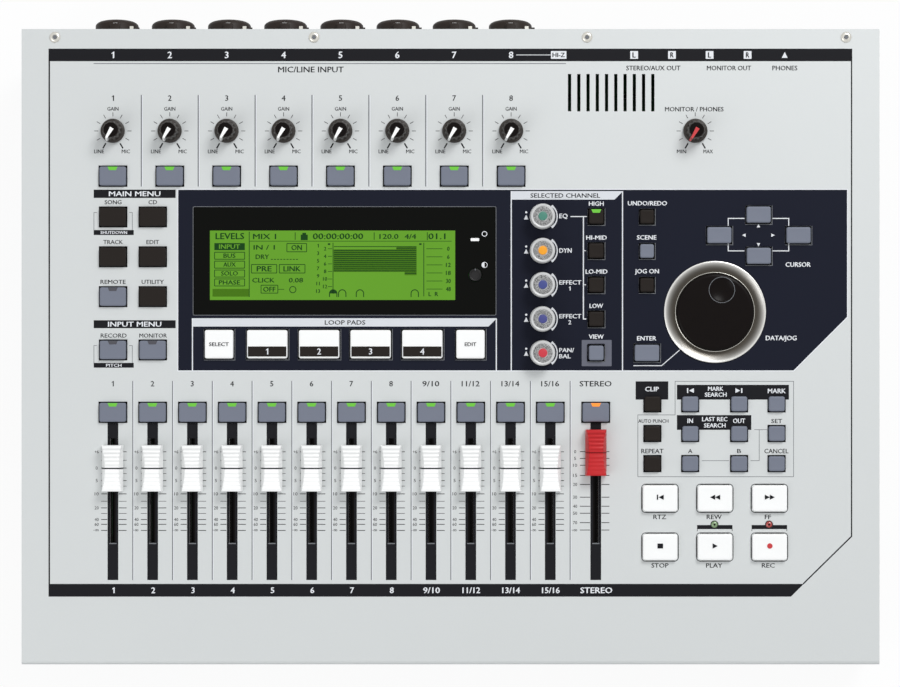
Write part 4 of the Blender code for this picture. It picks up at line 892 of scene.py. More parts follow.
class MakePrint(RecorderOperator, bpy.types.Operator):
    """Prints the dark field, the bands, the borders and the label blocks on the deck"""

    bl_idname = "recorder.make_print"
    bl_label = "Dark print"

    def execute(self, context):
        field = ((FIELD_LEFT, FIELD_REAR), (FIELD_LEFT, FIELD_FRONT),
                 (FIELD_RIGHT - FIELD_CHAMFER, FIELD_FRONT), (FIELD_RIGHT, FIELD_FRONT + FIELD_CHAMFER),
                 (FIELD_RIGHT, FIELD_REAR))
        holes = [key_hole(place, size, 0.02) for place, size in field_keys()]
        holes += [circle(4.0, place, 24) for place in ENCODERS]
        holes += [circle(26.6, JOG, 64)]
        centre = (WINDOW_LOW + WINDOW_HIGH)[:2] / 2
        size = (WINDOW_HIGH - WINDOW_LOW)[:2] - 2.2
        holes += [rounded(*size, 0.2, 2) + centre]
        piece("dark_field", sheet([np.array(field)] + holes), "dark_ink")
        piece("field_edge", outline_stroke(np.array(field), 0.55), "white_ink")
        self.bands()
        self.blocks()
        return {"FINISHED"}

    def bands(self):
        """The bands across the rear and the front, the borders and the fader strips."""
        slope = BOTTOM_BAND[1] - BOTTOM_BAND[0]
        turn_v, turn_u = BORDER_TURN
        bottom = ((BAND_LEFT, BOTTOM_BAND[0]), (turn_u - slope, BOTTOM_BAND[0]),
                  (turn_u, BOTTOM_BAND[1]), (BAND_LEFT, BOTTOM_BAND[1]))
        right = BAND_RIGHT - BORDER_WIDTH / 2
        border = ((turn_u - 0.3, BOTTOM_BAND[1]), (right, turn_v), (right, TOP_BAND[0]))
        shapes = [tile(BAND_LEFT, TOP_BAND[0], BAND_RIGHT, TOP_BAND[1]),
                  prism(bottom, -SUNK, INK),
                  tile(BAND_LEFT, BOTTOM_BAND[1], BAND_LEFT + 0.8, TOP_BAND[0]),
                  stroke(border, BORDER_WIDTH)]
        piece("bands", joined(shapes), "black_ink")
        strips = []
        middle = sum(SLOT_STRIP) / 2
        hole = sum(SLOT) / 2
        for u in COLUMNS:
            outline = rounded(SLOT_STRIP_WIDTH, SLOT_STRIP[1] - SLOT_STRIP[0], 0.05, 1) + (u, middle)
            opening = rounded(SLOT_WIDTH, SLOT[1] - SLOT[0], 0.05, 1) + (u, hole)
            strips.append(sheet([outline, opening]))
        piece("fader_strips", joined(strips), "black_ink")
        ends = [tile(u - 1.95, SLOT[0] - 0.4, u + 1.95, SLOT[0] + 0.2, *OVER) for u in COLUMNS]
        piece("slot_ends", joined(ends), "grey_ink")
        # Black dust covers beside each slot's lever, and below them a black liner in the fader body: painted
        # shade where the depth of the slot lies in shadow
        shades = []
        for u in COLUMNS:
            for side in (-1, 1):
                left, right = sorted((u + side * 0.66, u + side * 3.2))
                shades.append(tile(left, SLOT[0] - 1.5, right, SLOT[1] + 1.5, -2.6, -2.2))
            shades.append(tile(u - 0.9, SLOT[0], u + 0.9, SLOT[1], -8.0, -7.85))
        piece("slot_covers_and_shade_liners", joined(shades), "dial_black")

    def blocks(self):
        """The black blocks behind white words."""
        blocks = [tile(*low, *high) for low, high in LABEL_BLOCKS]
        half, thick = LAMP_BAR_HALF
        for name in ("play_key", "record_key"):
            u = TRANSPORT[name][0]
            blocks.append(tile(u - half, LAMP_BAR - thick, u + half, LAMP_BAR + thick))
            for end in (u - half + LAMP_BAR_END, u + half - LAMP_BAR_END):
                blocks.append(tile(end - LAMP_BAR_END, LAMP_BAR - 2.2, end + LAMP_BAR_END, LAMP_BAR - 1.0))
        piece("label_blocks", joined(blocks), "black_ink")


# Black blocks: lowest and highest corner
LABEL_BLOCKS = (
    ((-193.4, 79.7), (-149.0, 84.2)),
    ((-193.4, 9.1), (-149.0, 13.4)),
    ((-193.4, 59.6), (-171.7, 62.3)),
    ((-193.4, -12.3), (-171.7, -9.7)),
    ((100.3, -29.6), (118.0, -19.7)),
    ((122.7, -29.6), (183.4, -21.6)),
    ((122.7, -46.0), (163.0, -38.0)),
)
LAMP_BAR = -98.7
LAMP_BAR_HALF = (9.6, 1.1)
LAMP_BAR_END = 0.15
LAMP_ROW = -97.3


class MakeLines(RecorderOperator, bpy.types.Operator):
    """Prints the separators, the ticks and the outlines"""

    bl_idname = "recorder.make_lines"
    bl_label = "Lines and ticks"

    def execute(self, context):
        self.separators()
        self.ticks()
        self.field_lines()
        self.locate_lines()
        return {"FINISHED"}

    def separators(self):
        """Thin lines between the columns, each with a pale edge at its left that is a painted highlight, as
        on a lit bevel.
        """
        pitch = CHANNELS[1] - CHANNELS[0]
        lines = [((left + right) / 2, 0.3, 0.8, INPUT_LINES) for left, right in zip(INPUTS, INPUTS[1:])]
        lines += [(u + pitch / 2, 0.25, 0.7, CHANNEL_LINES) for u in CHANNELS]
        dark = [tile(u - half, front, u + half, rear) for u, half, _, (front, rear) in lines]
        # Painted highlight: a pale line beside each dark separator, as on a lit bevel
        pale = [tile(u + half, front, u + edge, rear) for u, half, edge, (front, rear) in lines]
        dark.append(tile(-193.5, 152.3, 62.6, 152.7))
        piece("separators", joined(dark), "grey_ink")
        piece("separator_highlights", joined(pale), "white_ink")

    def ticks(self):
        """Ticks round the pointer knobs and beside the faders."""
        shapes = []
        for u in (*INPUTS, MONITOR):
            ring = [spokes(range(-120, 121, 30), 7.9, 10.1, 0.32), spokes((-150, 150), 7.7, 10.9, 0.75)]
            shapes.append(joined(ring).moved(u, KNOB_ROW))
        for u in CHANNELS:
            shapes += [self.scale_tick(u, v, 6.4, width) for v, width in CHANNEL_SCALE]
        shapes += [self.scale_tick(STEREO, v, 8.6, WIDE_TICK) for v in STEREO_SCALE]
        piece("ticks", joined(shapes), "black_ink")

    def scale_tick(self, u, v, reach, width):
        """A pair of short lines beside a fader's strip."""
        near = SLOT_STRIP_WIDTH / 2 + 0.2
        left = tile(u - reach, v - width / 2, u - near, v + width / 2)
        right = tile(u + near, v - width / 2, u + 7.4, v + width / 2)
        return joined((left, right))

    def field_lines(self):
        """White lines, arcs and arrows in the dark field."""
        shapes = []
        for u, rear in HEADER_LINES:
            shapes.append(tile(u - 0.3, FIELD_FRONT, u + 0.3, rear, *OVER))
        for u, v in ENCODERS:
            arc = sector(8.0, 0.65, -50, 50, *OVER, 1.0)
            push = joined((disc(0.6, *OVER, 16).moved(v=2.3), polygon(ARROW, *OVER, 2.5).moved(v=-0.3)))
            shapes += [arc.moved(u, v), push.moved(u - 8.8, v)]
        link = BAND_COLUMN - 6.9
        rows = [v for _, v in ENCODERS[:4]]
        first = ENCODERS[0][0] + 15.2
        lines = [(((first, rows[0]), (link + 2.0, rows[0])), 0.5),
                 (((link, rows[0]), (link, rows[3]), (link + 1.6, rows[3])), 0.6)]
        lines += [(((link, v), (link + 1.4, v)), 0.4) for v in rows[1:3]]
        lines.append((ENTER_LINE, 0.45))
        middle = CURSORS[0][0]
        for side in (-1, 1):
            corner = middle + side * 16.4
            for end, reach in ((1, 68.6), (-1, 51.0)):
                path = ((middle + side * 7.6, reach), (corner, reach), (corner, reach - end * 4.0))
                lines.append((path, 0.5))
        shapes += [stroke(path, width, *OVER) for path, width in lines]
        for turn, u, v in ((0, 0, 5.2), (90, -7.9, 0), (180, 0, -5.2), (270, 7.9, 0)):
            arrow = polygon(ARROW, *OVER, 1.9).turned(turn)
            shapes.append(arrow.moved(middle + u, CURSORS[1][1] + v))
        piece("field_lines", joined(shapes), "white_ink")
        # Painted highlight: grey lines on the right and front edges only of each key hole, where the bare
        # edge of the hole catches the light
        rims = []
        for (u, v), (width, depth) in field_keys():
            right = u + width / 2 + 0.2
            front = v - depth / 2 - 0.2
            path = ((u - width / 2, front), (right, front), (right, v + depth / 2))
            rims.append(stroke(path, THIN_LINE, *OVER))
        piece("key_hole_highlights", joined(rims), "grey_ink")
        hole = key_hole((BAND_COLUMN, ENCODERS[4][1]), BAND_KEY, 0.4)
        outer = rounded(16.2, 14.2, 0.2, 1) + (BAND_COLUMN + 0.3, ENCODERS[4][1] - 0.1)
        piece("view_frame", sheet([outer, hole], *OVER), "frame_ink")

    def locate_lines(self):
        """Thin lines round the locate keys, and the brackets at two keys on the left."""
        shapes = [stroke(path, THIN_LINE) for path in LOCATE_LINES]
        for row in (NAVIGATE_ROWS[0], NAVIGATE_ROWS[3]):
            for side in (-1, 1):
                u = NAVIGATE_COLUMNS[0] + side * 10.4
                path = ((u - side * 1.6, row + 2.4), (u, row + 2.4), (u, row - 7.1))
                shapes.append(stroke(path, THIN_LINE))
        piece("locate_lines", joined(shapes), "grey_ink")


# Vertical white lines in the dark field: place, and the rear end in the header above it
HEADER_LINES = ((-139.9, 14.2), (24.8, 14.2), (32.9, 83.4), (93.2, 83.4))
ENTER_LINE = ((99.1, -11.2), (114.4, -11.2), (124.2, -2.7))
LOCATE_LINES = (
    ((121.7, -37.9), (121.7, -19.7), (185.9, -19.7), (185.9, -71.4), (101.5, -71.4), (101.5, -37.9),
     (121.85, -37.9)),
    ((164.6, -45.9), (172.1, -45.9)),
    ((167.3, -45.9), (167.3, -62.7), (162.6, -62.7)),
    ((136.2, -62.7), (150.9, -62.7)),
)
THIN_TICK = 0.26
WIDE_TICK = 0.38
CHANNEL_SCALE = ((-57.9, WIDE_TICK), (-62.5, THIN_TICK), (-66.7, WIDE_TICK), (-69.7, THIN_TICK),
                 (-73.5, WIDE_TICK), (-76.5, THIN_TICK), (-80.7, WIDE_TICK), (-84.7, THIN_TICK),
                 (-88.3, WIDE_TICK), (-91.3, THIN_TICK), (-94.6, WIDE_TICK), (-97.2, WIDE_TICK),
                 (-100.5, WIDE_TICK))
STEREO_SCALE = (-57.8, -61.5, -65.2, -70.7, -75.6, -82.5, -87.4, -91.2, -96.3, -100.3)


# Words: text, place, printed width and letter height
DARK_WORDS = (
    ("MIC/LINE INPUT", (-75.7, 149.3), 35.6, 3.1),
    ("STEREO/AUX OUT", (109.9, 150.1), 29.4, 2.5),
    ("MONITOR OUT", (150.9, 150.1), 24.0, 2.5),
    ("PHONES", (181.2, 150.1), 13.6, 2.5),
    ("MONITOR / PHONES", (132.1, 127.8), 31.8, 2.4),
    ("MIN", (125.2, 104.9), 5.1, 2.0),
    ("MAX", (139.6, 104.9), 5.2, 2.0),
    ("SONG", (-182.9, 77.4), 9.2, 2.2),
    ("CD", (-161.4, 77.4), 4.7, 2.2),
    ("TRACK", (-182.9, 55.8), 10.7, 2.2),
    ("EDIT", (-161.4, 55.8), 6.9, 2.2),
    ("REMOTE", (-182.9, 34.2), 13.7, 2.2),
    ("UTILITY", (-161.4, 34.2), 12.1, 2.2),
    ("RECORD", (-182.6, 5.1), 14.1, 2.2),
    ("MONITOR", (-161.2, 5.1), 15.0, 2.2),
    ("AUTO PUNCH", (109.9, -41.2), 16.4, 1.9),
    ("REPEAT", (109.4, -57.5), 12.1, 2.4),
    ("A", (129.9, -57.5), 2.4, 2.2),
    ("B", (156.4, -57.5), 2.2, 2.2),
    ("SET", (176.8, -41.2), 6.0, 2.2),
    ("CANCEL", (176.6, -57.5), 13.1, 2.4),
    ("RTZ", (113.4, -93.2), 7.0, 2.4),
    ("REW", (142.9, -93.2), 8.2, 2.4),
    ("FF", (172.0, -93.2), 3.4, 2.4),
    ("STOP", (113.5, -119.5), 9.3, 2.4),
    ("PLAY", (142.9, -119.5), 8.9, 2.4),
    ("REC", (172.2, -119.5), 7.1, 2.4),
)
WHITE_WORDS = (
    ("MAIN MENU", (-171.2, 81.95), 28.0, 2.7),
    ("INPUT MENU", (-171.2, 11.25), 29.0, 2.7),
    ("SHUTDOWN", (-182.5, 60.95), 14.4, 1.6),
    ("PITCH", (-182.5, -11.0), 8.4, 1.6),
    ("EQ", (61.2, 69.7), 4.6, 2.5),
    ("DYN", (62.3, 51.2), 6.8, 2.5),
    ("EFFECT", (64.9, 33.9), 12.0, 2.3),
    ("1", (64.6, 30.6), 0.0, 2.3),
    ("EFFECT", (64.9, 15.6), 12.0, 2.3),
    ("2", (64.6, 12.3), 0.0, 2.3),
    ("PAN/", (62.9, -2.8), 8.1, 2.3),
    ("BAL", (62.0, -6.1), 6.3, 2.3),
    ("HIGH", (79.0, 76.6), 8.1, 2.4),
    ("HI-MID", (79.1, 58.2), 11.2, 2.4),
    ("LO-MID", (79.1, 39.8), 11.9, 2.4),
    ("LOW", (79.0, 21.2), 7.4, 2.4),
    ("VIEW", (79.0, 4.5), 8.1, 2.4),
    ("UNDO/REDO", (106.7, 76.8), 21.3, 2.4),
    ("SCENE", (106.3, 58.3), 10.7, 2.4),
    ("JOG ON", (106.4, 39.6), 13.2, 2.4),
    ("ENTER", (106.3, 3.6), 10.5, 2.4),
    ("CURSOR", (188.4, 43.6), 13.7, 2.5),
    ("DATA/JOG", (179.2, 3.4), 16.8, 2.5),
    ("CLIP", (109.2, -23.9), 7.5, 2.5),
    ("MARK", (176.8, -24.9), 9.8, 2.5),
    ("MARK", (143.7, -23.7), 8.4, 2.3),
    ("SEARCH", (143.7, -26.9), 11.9, 2.3),
    ("IN", (129.9, -41.1), 3.1, 2.5),
    ("OUT", (156.4, -41.1), 6.7, 2.5),
    ("LAST REC", (143.2, -40.2), 13.8, 2.3),
    ("SEARCH", (143.2, -43.6), 11.8, 2.3),
)
HEADER_WORDS = (
    ("SELECTED CHANNEL", (62.2, 81.0), 37.8, 2.4),
    ("LOOP PADS", (-57.2, 12.2), 22.0, 2.4),
)
CHANNEL_NAMES = ("1", "2", "3", "4", "5", "6", "7", "8", "9/10", "11/12", "13/14", "15/16", "STEREO")
NAME_WIDTHS = {1: 0.0, 4: 9.2, 5: 9.7, 6: 17.4}
CHANNEL_LEVELS = (("+6", -57.9), ("0", -66.7), ("5", -73.5), ("10", -80.7), ("20", -88.3), ("40", -94.6),
                  ("60", -97.2))
STEREO_LEVELS = (("0", -57.8), ("5", -61.5), ("10", -65.2), ("15", -70.7), ("20", -75.6), ("30", -82.5),
                 ("40", -87.4), ("50", -91.2), ("70", -96.3))
LAST_LEVEL = -100.4


class MakeWords(RecorderOperator, bpy.types.Operator):
    """Prints the plain function words and the numbers"""

    bl_idname = "recorder.make_words"
    bl_label = "Words and numbers"

    def execute(self, context):
        piece("dark_words", joined(self.dark()), "black_ink")
        piece("scale_numbers", joined(self.scales()), "black_ink")
        piece("white_words", joined(self.white()), "white_ink")
        piece("label_arrows", joined(self.arrows()), "white_ink")
        self.boxes()
        return {"FINISHED"}

    def dark(self):
        """Words and numbers on the silver."""
        shapes = [word(*line) for line in DARK_WORDS]
        shapes += [word(*line, *ON_TOP) for line in HEADER_WORDS]
        gain = word("GAIN", (0, 12.0), 6.1, 2.0)
        line = word("LINE", (-7.5, -11.1), 5.4, 2.0)
        mic = word("MIC", (7.0, -11.1), 4.5, 2.0)
        around = joined((gain, line, mic))
        for number, u in enumerate(INPUTS, 1):
            shapes.append(around.moved(u, KNOB_ROW))
            shapes.append(word(str(number), (u, KNOB_ROW + 17.8), 0.0, 3.0))
        for name, u in zip(CHANNEL_NAMES, COLUMNS):
            shapes.append(word(name, (u - 0.1, -21.0), NAME_WIDTHS[len(name)], 2.9))
        return shapes

    def scales(self):
        """Small level numbers at the left of each fader; the last one is a lying eight."""
        loops = [sector(0.42, 0.22, 0, 360).moved(u, LAST_LEVEL) for u in (-9.1, -8.25)]
        last = joined(loops + [tile(-10.6, LAST_LEVEL - 0.12, -9.9, LAST_LEVEL + 0.12)])
        column = joined([self.level(text, -8.8, v) for text, v in CHANNEL_LEVELS] + [last])
        shapes = [column.moved(u) for u in CHANNELS]
        shapes += [self.level(text, STEREO - 11.2, v) for text, v in STEREO_LEVELS]
        shapes.append(last.moved(STEREO - 2.4))
        return shapes

    def level(self, text, u, v):
        """A small number of a fader's scale."""
        return word(text, (u, v), 1.1 * len(text), 1.7, weight=FINE)

    def white(self):
        """Words on the dark print."""
        shapes = [word(*line, *OVER, BOLD) for line in WHITE_WORDS]
        top = sum(TOP_BAND) / 2
        bottom = sum(BOTTOM_BAND) / 2
        for number, u in enumerate(INPUTS, 1):
            shapes.append(word(str(number), (u, top), 0.0, 3.6, *OVER, BOLD))
        for name, u in zip(CHANNEL_NAMES, COLUMNS):
            shapes.append(word(name, (u + 0.3, bottom), NAME_WIDTHS[len(name)], 3.2, *OVER, BOLD))
        return shapes

    def arrows(self):
        """Arrow marks above the locate keys, and the small line beside input eight."""
        arrow = polygon(ARROW, *OVER, 2.6)
        bar = tile(-0.35, -1.3, 0.35, 1.3, *OVER)
        top = sum(TOP_BAND) / 2
        row = -24.7
        left, right = LOCATE_COLUMNS[1:3]
        return [arrow.turned(90).moved(left + 0.7, row), bar.moved(left - 1.4, row),
                arrow.turned(-90).moved(right - 0.7, row), bar.moved(right + 1.4, row),
                polygon(ARROW, *OVER, 3.2).moved(181.1, top),
                stroke(((INPUTS[7] + 2.8, top), (54.6, top)), 0.35, *OVER)]

    def boxes(self):
        """White boxes with dark letters in the rear band."""
        top = sum(TOP_BAND) / 2
        boxes = [tile(-4.2, -2.1, 4.2, 2.1, *OVER).moved(58.6, top)]
        marks = [word("HI-Z", (58.6, top), 6.8, 2.4, *ON_TOP, BOLD)]
        for u, mark in ((99.5, "L"), (120.0, "R"), (140.4, "L"), (161.0, "R")):
            boxes.append(tile(-2.1, -2.1, 2.1, 2.1, *OVER).moved(u, top))
            marks.append(word(mark, (u, top), 1.9, 2.9, *ON_TOP, BOLD))
        piece("letter_boxes", joined(boxes), "white_ink")
        piece("box_letters", joined(marks), "black_ink")


class MakeHeaders(RecorderOperator, bpy.types.Operator):
    """Lays the pale header bars with their slanted ends"""

    bl_idname = "recorder.make_headers"
    bl_label = "Header bars"

    def execute(self, context):
        bars = []
        for low, high, slant in HEADER_BARS:
            outline = ((low[0], low[1]), (high[0] - slant, low[1]), (high[0], high[1]), (low[0], high[1]))
            bars.append(prism(outline, OVER[0], INK_OVER - 0.005))
        piece("header_bars", joined(bars), "header_silver")
        return {"FINISHED"}


# Pale header bars: lowest and highest corner, and how far the right end slants
HEADER_BARS = (((-140.2, 10.0), (25.1, 14.5), 4.5), ((32.6, 78.8), (93.5, 83.4), 4.6))


class MakeScrews(RecorderOperator, bpy.types.Operator):
    """Sets the deck's screws and those along the rear edge"""

    bl_idname = "recorder.make_screws"
    bl_label = "Screws"

    SCREW_COLUMNS = (-214.4, -74.0, 74.0, 214.4)
    SCREW_ROW = 166.8

    def execute(self, context):
        head = hex_screw(2.9, 1.1, 1.25)
        screws = [head.moved(u, self.SCREW_ROW) for u in self.SCREW_COLUMNS]
        piece("deck_screws", joined(screws), "nickel")
        # Painted shade: a grey block inside each hexagonal socket, darker than the nickel head, where the
        # recess lies in shadow
        floor = prism(circle(1.2, sides=6), 0.3, 0.9)
        shaded_floors = [floor.moved(u, self.SCREW_ROW) for u in self.SCREW_COLUMNS]
        piece("screw_socket_shade", joined(shaded_floors), "grey_ink")
        return {"FINISHED"}


def hexagon_radius(angle, flat):
    """Distance from the middle to a hexagon's side: flat / cos of the angle from the nearest flat."""
    step = math.pi / 3
    return flat / np.cos((angle % step) - step / 2)


def hex_screw(radius, height, flat, sides=48):
    """A button head: a dome of (1 - cos) rings about a hexagonal socket with a flat floor."""
    rings = [(radius, -SUNK), (radius, height * 0.35)]
    for share in np.linspace(0, 1, 6)[1:]:
        rise = 0.35 + 0.65 * math.sin(share * math.pi / 2)
        rings.append((radius - (radius - 1.35 * flat) * share, height * rise))
    ray = circle(1.0, sides=sides)
    levels = [at_height(ring * ray, level) for ring, level in rings]
    socket = hexagon_radius(np.linspace(0, math.tau, sides, endpoint=False), flat)[:, None]
    for scale, share in ((1.0, 1.0), (0.96, 0.3), (0.5, 0.28)):
        levels.append(at_height(scale * socket * ray, height * share))
    return skin(np.array(levels))


class MakeKnobs(RecorderOperator, bpy.types.Operator):
    """Makes the pointer knobs with their fluted grips"""

    bl_idname = "recorder.make_knobs"
    bl_label = "Pointer knobs"

    REST_ANGLE = -150.0

    # Radius and height of each ring of the grip, and how deep the flutes are there
    GRIP = ((3.0, -6.9), (3.0, 0.8), (6.3, 0.8), (6.55, 1.05), (6.55, 2.3), (6.4, 2.7), (6.1, 2.9),
            (5.6, 2.95, 0.1), (5.3, 3.1, 0.5), (5.05, 5.0, 0.7), (4.85, 11.0, 0.7), (4.75, 13.2, 0.6),
            (4.5, 13.75, 0.5), (4.1, 14.0, 0.3), (3.4, 14.05), (2.4, 13.85), (1.0, 13.8))
    TOP = ((3.9, 13.6), (3.9, 14.1), (3.6, 14.16), (1.8, 14.1))
    POINTER_FOOT = ((6.35, -0.6), (6.35, 0.6), (-1.2, 1.15), (-1.2, -1.15))
    POINTER_HEAD = ((5.2, -0.6), (5.2, 0.6), (-1.2, 1.15), (-1.2, -1.15))

    def execute(self, context):
        body = lathe(self.GRIP, 96, flutes=settings()[1].knob_flutes)
        top = lathe(self.TOP, 48)
        low = np.array(self.POINTER_FOOT)
        high = np.array(self.POINTER_HEAD)
        pointer = skin(np.array((at_height(low, 2.5), at_height(low, 3.4), at_height(high, 13.6),
                                 at_height(high * 0.97, 14.25))))
        pointer = pointer.turned(90 - self.REST_ANGLE)
        knobs = {f"gain_knob_{number}": u for number, u in enumerate(INPUTS, 1)}
        knobs["monitor_knob"] = MONITOR
        for name, u in knobs.items():
            piece(f"{name}_grip", body.moved(u, KNOB_ROW), "knob_plastic", name, stands_for=(name,))
            piece(f"{name}_top", top.moved(u, KNOB_ROW), "dial_black", name)
            finish = "pointer_red" if name == "monitor_knob" else "pointer_white"
            piece(f"{name}_pointer", pointer.moved(u, KNOB_ROW), finish, name)
        return {"FINISHED"}


class MakeEncoders(RecorderOperator, bpy.types.Operator):
    """Makes the endless knobs with their coloured tops, and the contrast knob"""

    bl_idname = "recorder.make_encoders"
    bl_label = "Encoders"

    # Radius and height of each ring, and how deep the flutes are there
    CAP = ((3.0, -6.9), (3.0, 0.8), (6.65, 0.8), (6.9, 1.1), (6.9, 2.0), (6.8, 2.2, 0.25),
           (6.7, 8.6, 0.25), (6.75, 9.2), (6.7, 10.0), (6.4, 10.7), (6.0, 10.95), (5.6, 10.85),
           (5.2, 10.6), (3.6, 10.45), (2.7, 10.4), (2.55, 10.2), (1.0, 10.2))
    RING = ((5.2, 10.3), (5.2, 10.72), (5.0, 10.8), (3.6, 10.66), (2.85, 10.6), (2.85, 10.2))
    DOT = ((2.4, 10.1), (2.4, 10.8), (2.2, 11.0), (1.6, 11.1), (0.8, 11.15))
    CONTRAST_GRIP = ((1.5, -6.9), (1.5, -1.9), (3.4, -1.9), (3.45, -1.7), (3.45, 1.6, 0.15),
                     (3.3, 2.0, 0.1), (2.9, 2.2), (2.5, 2.1), (2.3, 1.7), (1.0, 1.6))

    def execute(self, context):
        body = lathe(self.CAP, 144, flutes=36)
        ring = lathe(self.RING, 96, loop=True)
        dot = lathe(self.DOT, 32)
        for number, (place, colour_name) in enumerate(
                zip(ENCODERS, ("teal", "orange", "blue", "violet", "crimson")), 1):
            name = f"encoder_{number}"
            piece(f"{name}_cap", body.moved(*place), "bright_plastic", name, stands_for=(name,))
            piece(f"{name}_ring", ring.moved(*place), "speckle", name)
            piece(f"{name}_dot", dot.moved(*place), f"{colour_name}_dot", name)
        contrast = lathe(self.CONTRAST_GRIP, 72, flutes=18)
        piece("contrast_grip", contrast.moved(*CONTRAST), "black_plastic", "contrast_knob",
              stands_for=("contrast_knob",))
        mark = slab((-0.25, 2.35, 2.0), (0.25, 3.3, 2.24))
        piece("contrast_mark", mark.moved(*CONTRAST), "grey_ink", "contrast_knob")
        return {"FINISHED"}


def key_cap(size, top=KEY_TOP, corner=1.1, dish=0.12):
    """A key above its mat: straight walls, a rounded edge and a slightly hollow top."""
    edge = settings()[1].key_round / MM
    levels = fillet(MAT_TOP - 0.5, top, edge)
    return cap(size[0] - 2 * CAP_GAP, size[1] - 2 * CAP_GAP, corner, levels, dish)


def mat(keys):
    """The flat rubber strip under a bank of keys."""
    low = np.min([np.subtract(place, np.array(size) / 2) for place, size in keys], axis=0) - MAT_MARGIN
    high = np.max([np.add(place, np.array(size) / 2) for place, size in keys], axis=0) + MAT_MARGIN
    return slab((*low, MAT_TOP - MAT_THICK), (*high, MAT_TOP))


class MakeKeys(RecorderOperator, bpy.types.Operator):
    """Makes the small keys of every bank, with their lamps and marks"""

    bl_idname = "recorder.make_keys"
    bl_label = "Bank keys"

    def execute(self, context):
        grid = [(u, v) for u in NAVIGATE_COLUMNS for v in NAVIGATE_ROWS]
        grey_places = ((NAVIGATE_COLUMNS[0], NAVIGATE_ROWS[2]), (NAVIGATE_COLUMNS[0], NAVIGATE_ROWS[3]),
                       (NAVIGATE_COLUMNS[1], NAVIGATE_ROWS[3]))
        inputs = [((u, INPUT_KEYS_ROW), INPUT_KEY) for u in INPUTS]
        channels = [((u, CHANNEL_KEYS_ROW), INPUT_KEY) for u in COLUMNS]
        self.bank("input_keys", "grey_key", inputs)
        self.bank("channel_keys", "grey_key", channels)
        self.bank("navigate_keys", "dark_key", [(place, NAVIGATE_KEY) for place in grid], grey_places)
        self.bank("band_keys", "dark_key", [((BAND_COLUMN, v), BAND_KEY) for _, v in ENCODERS],
                  ((BAND_COLUMN, ENCODERS[4][1]),))
        edits = [((EDIT_COLUMN, v), EDIT_KEY) for v in EDIT_ROWS]
        edits.append(((EDIT_COLUMN, ENTER_ROW), ENTER_KEY))
        self.bank("edit_keys", "dark_key", edits, ((EDIT_COLUMN, EDIT_ROWS[1]), (EDIT_COLUMN, ENTER_ROW)))
        self.bank("cursor_keys", "grey_key", [(place, CURSOR_KEY) for place in CURSORS])
        locates = [((u, v), LOCATE_KEY) for u in LOCATE_COLUMNS for v in LOCATE_ROWS]
        self.bank("locate_keys", "grey_key", locates, (), locates[:len(LOCATE_ROWS)])
        pads = [((u, PADS_ROW), PAD_END) for u in PAD_ENDS]
        pads += [((u, PADS_ROW), PAD_LONG) for u in PAD_MIDDLES]
        self.bank("loop_pads", "white_key", pads)
        self.lamps("input_keys", inputs, "green_lamp")
        self.lamps("channel_keys", channels[:-1], "green_lamp")
        self.lamps("channel_keys", channels[-1:], "amber_lamp")
        self.lamps("navigate_keys", [(place, NAVIGATE_KEY) for place in grey_places], "smoke_lens")
        self.lamps("band_keys", [((BAND_COLUMN, ENCODERS[0][1]), BAND_KEY)], "green_lamp")
        self.pad_marks()
        return {"FINISHED"}

    def bank(self, body, finish, keys, grey=(), dark=()):
        """One bank: its caps in one or two colours, and the mat below them."""
        dark_places = [tuple(place) for place, _ in dark]
        grey_places = [tuple(place) for place in grey]
        plain = []
        other = []
        for place, size in keys:
            made = key_cap(size).moved(*place)
            if tuple(place) in dark_places or tuple(place) in grey_places:
                other.append(made)
            else:
                plain.append(made)
        piece(f"{body}_caps", joined(plain), finish, body, stands_for=(body,))
        if other:
            piece(f"{body}_second_caps", joined(other), "grey_key" if grey else "dark_key", body)
        strips = [keys]
        if body == "cursor_keys":
            strips = [keys[1:-1], [keys[0], keys[-1]]]
        piece(f"{body}_mat", joined(mat(strip) for strip in strips), "rubber", body)

    def lamps(self, body, keys, finish):
        """Lamp windows at the rear edge of some keys."""
        outline = ((-1.9, -0.95), (1.9, -0.95), (2.7, 0.95), (-2.7, 0.95))
        window = prism(outline, KEY_TOP - 1.2, KEY_TOP + 0.05)
        made = [window.moved(place[0], place[1] + size[1] / 2 - CAP_GAP - 1.05) for place, size in keys]
        piece(f"{body}_{finish}_{len(keys)}", joined(made), finish, body)

    def pad_marks(self):
        """Dark strips with white numbers on the long pads, and words on the end ones."""
        heights = (KEY_TOP - 0.16, KEY_TOP + INK)
        strips = []
        numbers = []
        for number, u in enumerate(PAD_MIDDLES, 1):
            strips.append(tile(u - 10.4, PADS_ROW - 6.7, u + 10.4, PADS_ROW - 1.2, *heights))
            numbers.append(word(str(number), (u, PADS_ROW - 3.9), 0.0, 3.3, KEY_TOP, KEY_TOP + 2 * INK))
        piece("pad_strips", joined(strips), "dark_key", "loop_pads")
        piece("pad_numbers", joined(numbers), "white_ink", "loop_pads")
        words = [word("SELECT", (PAD_ENDS[0], PADS_ROW), 10.7, 2.0, *heights),
                 word("EDIT", (PAD_ENDS[1], PADS_ROW), 6.3, 2.0, *heights)]
        piece("pad_words", joined(words), "black_ink", "loop_pads")


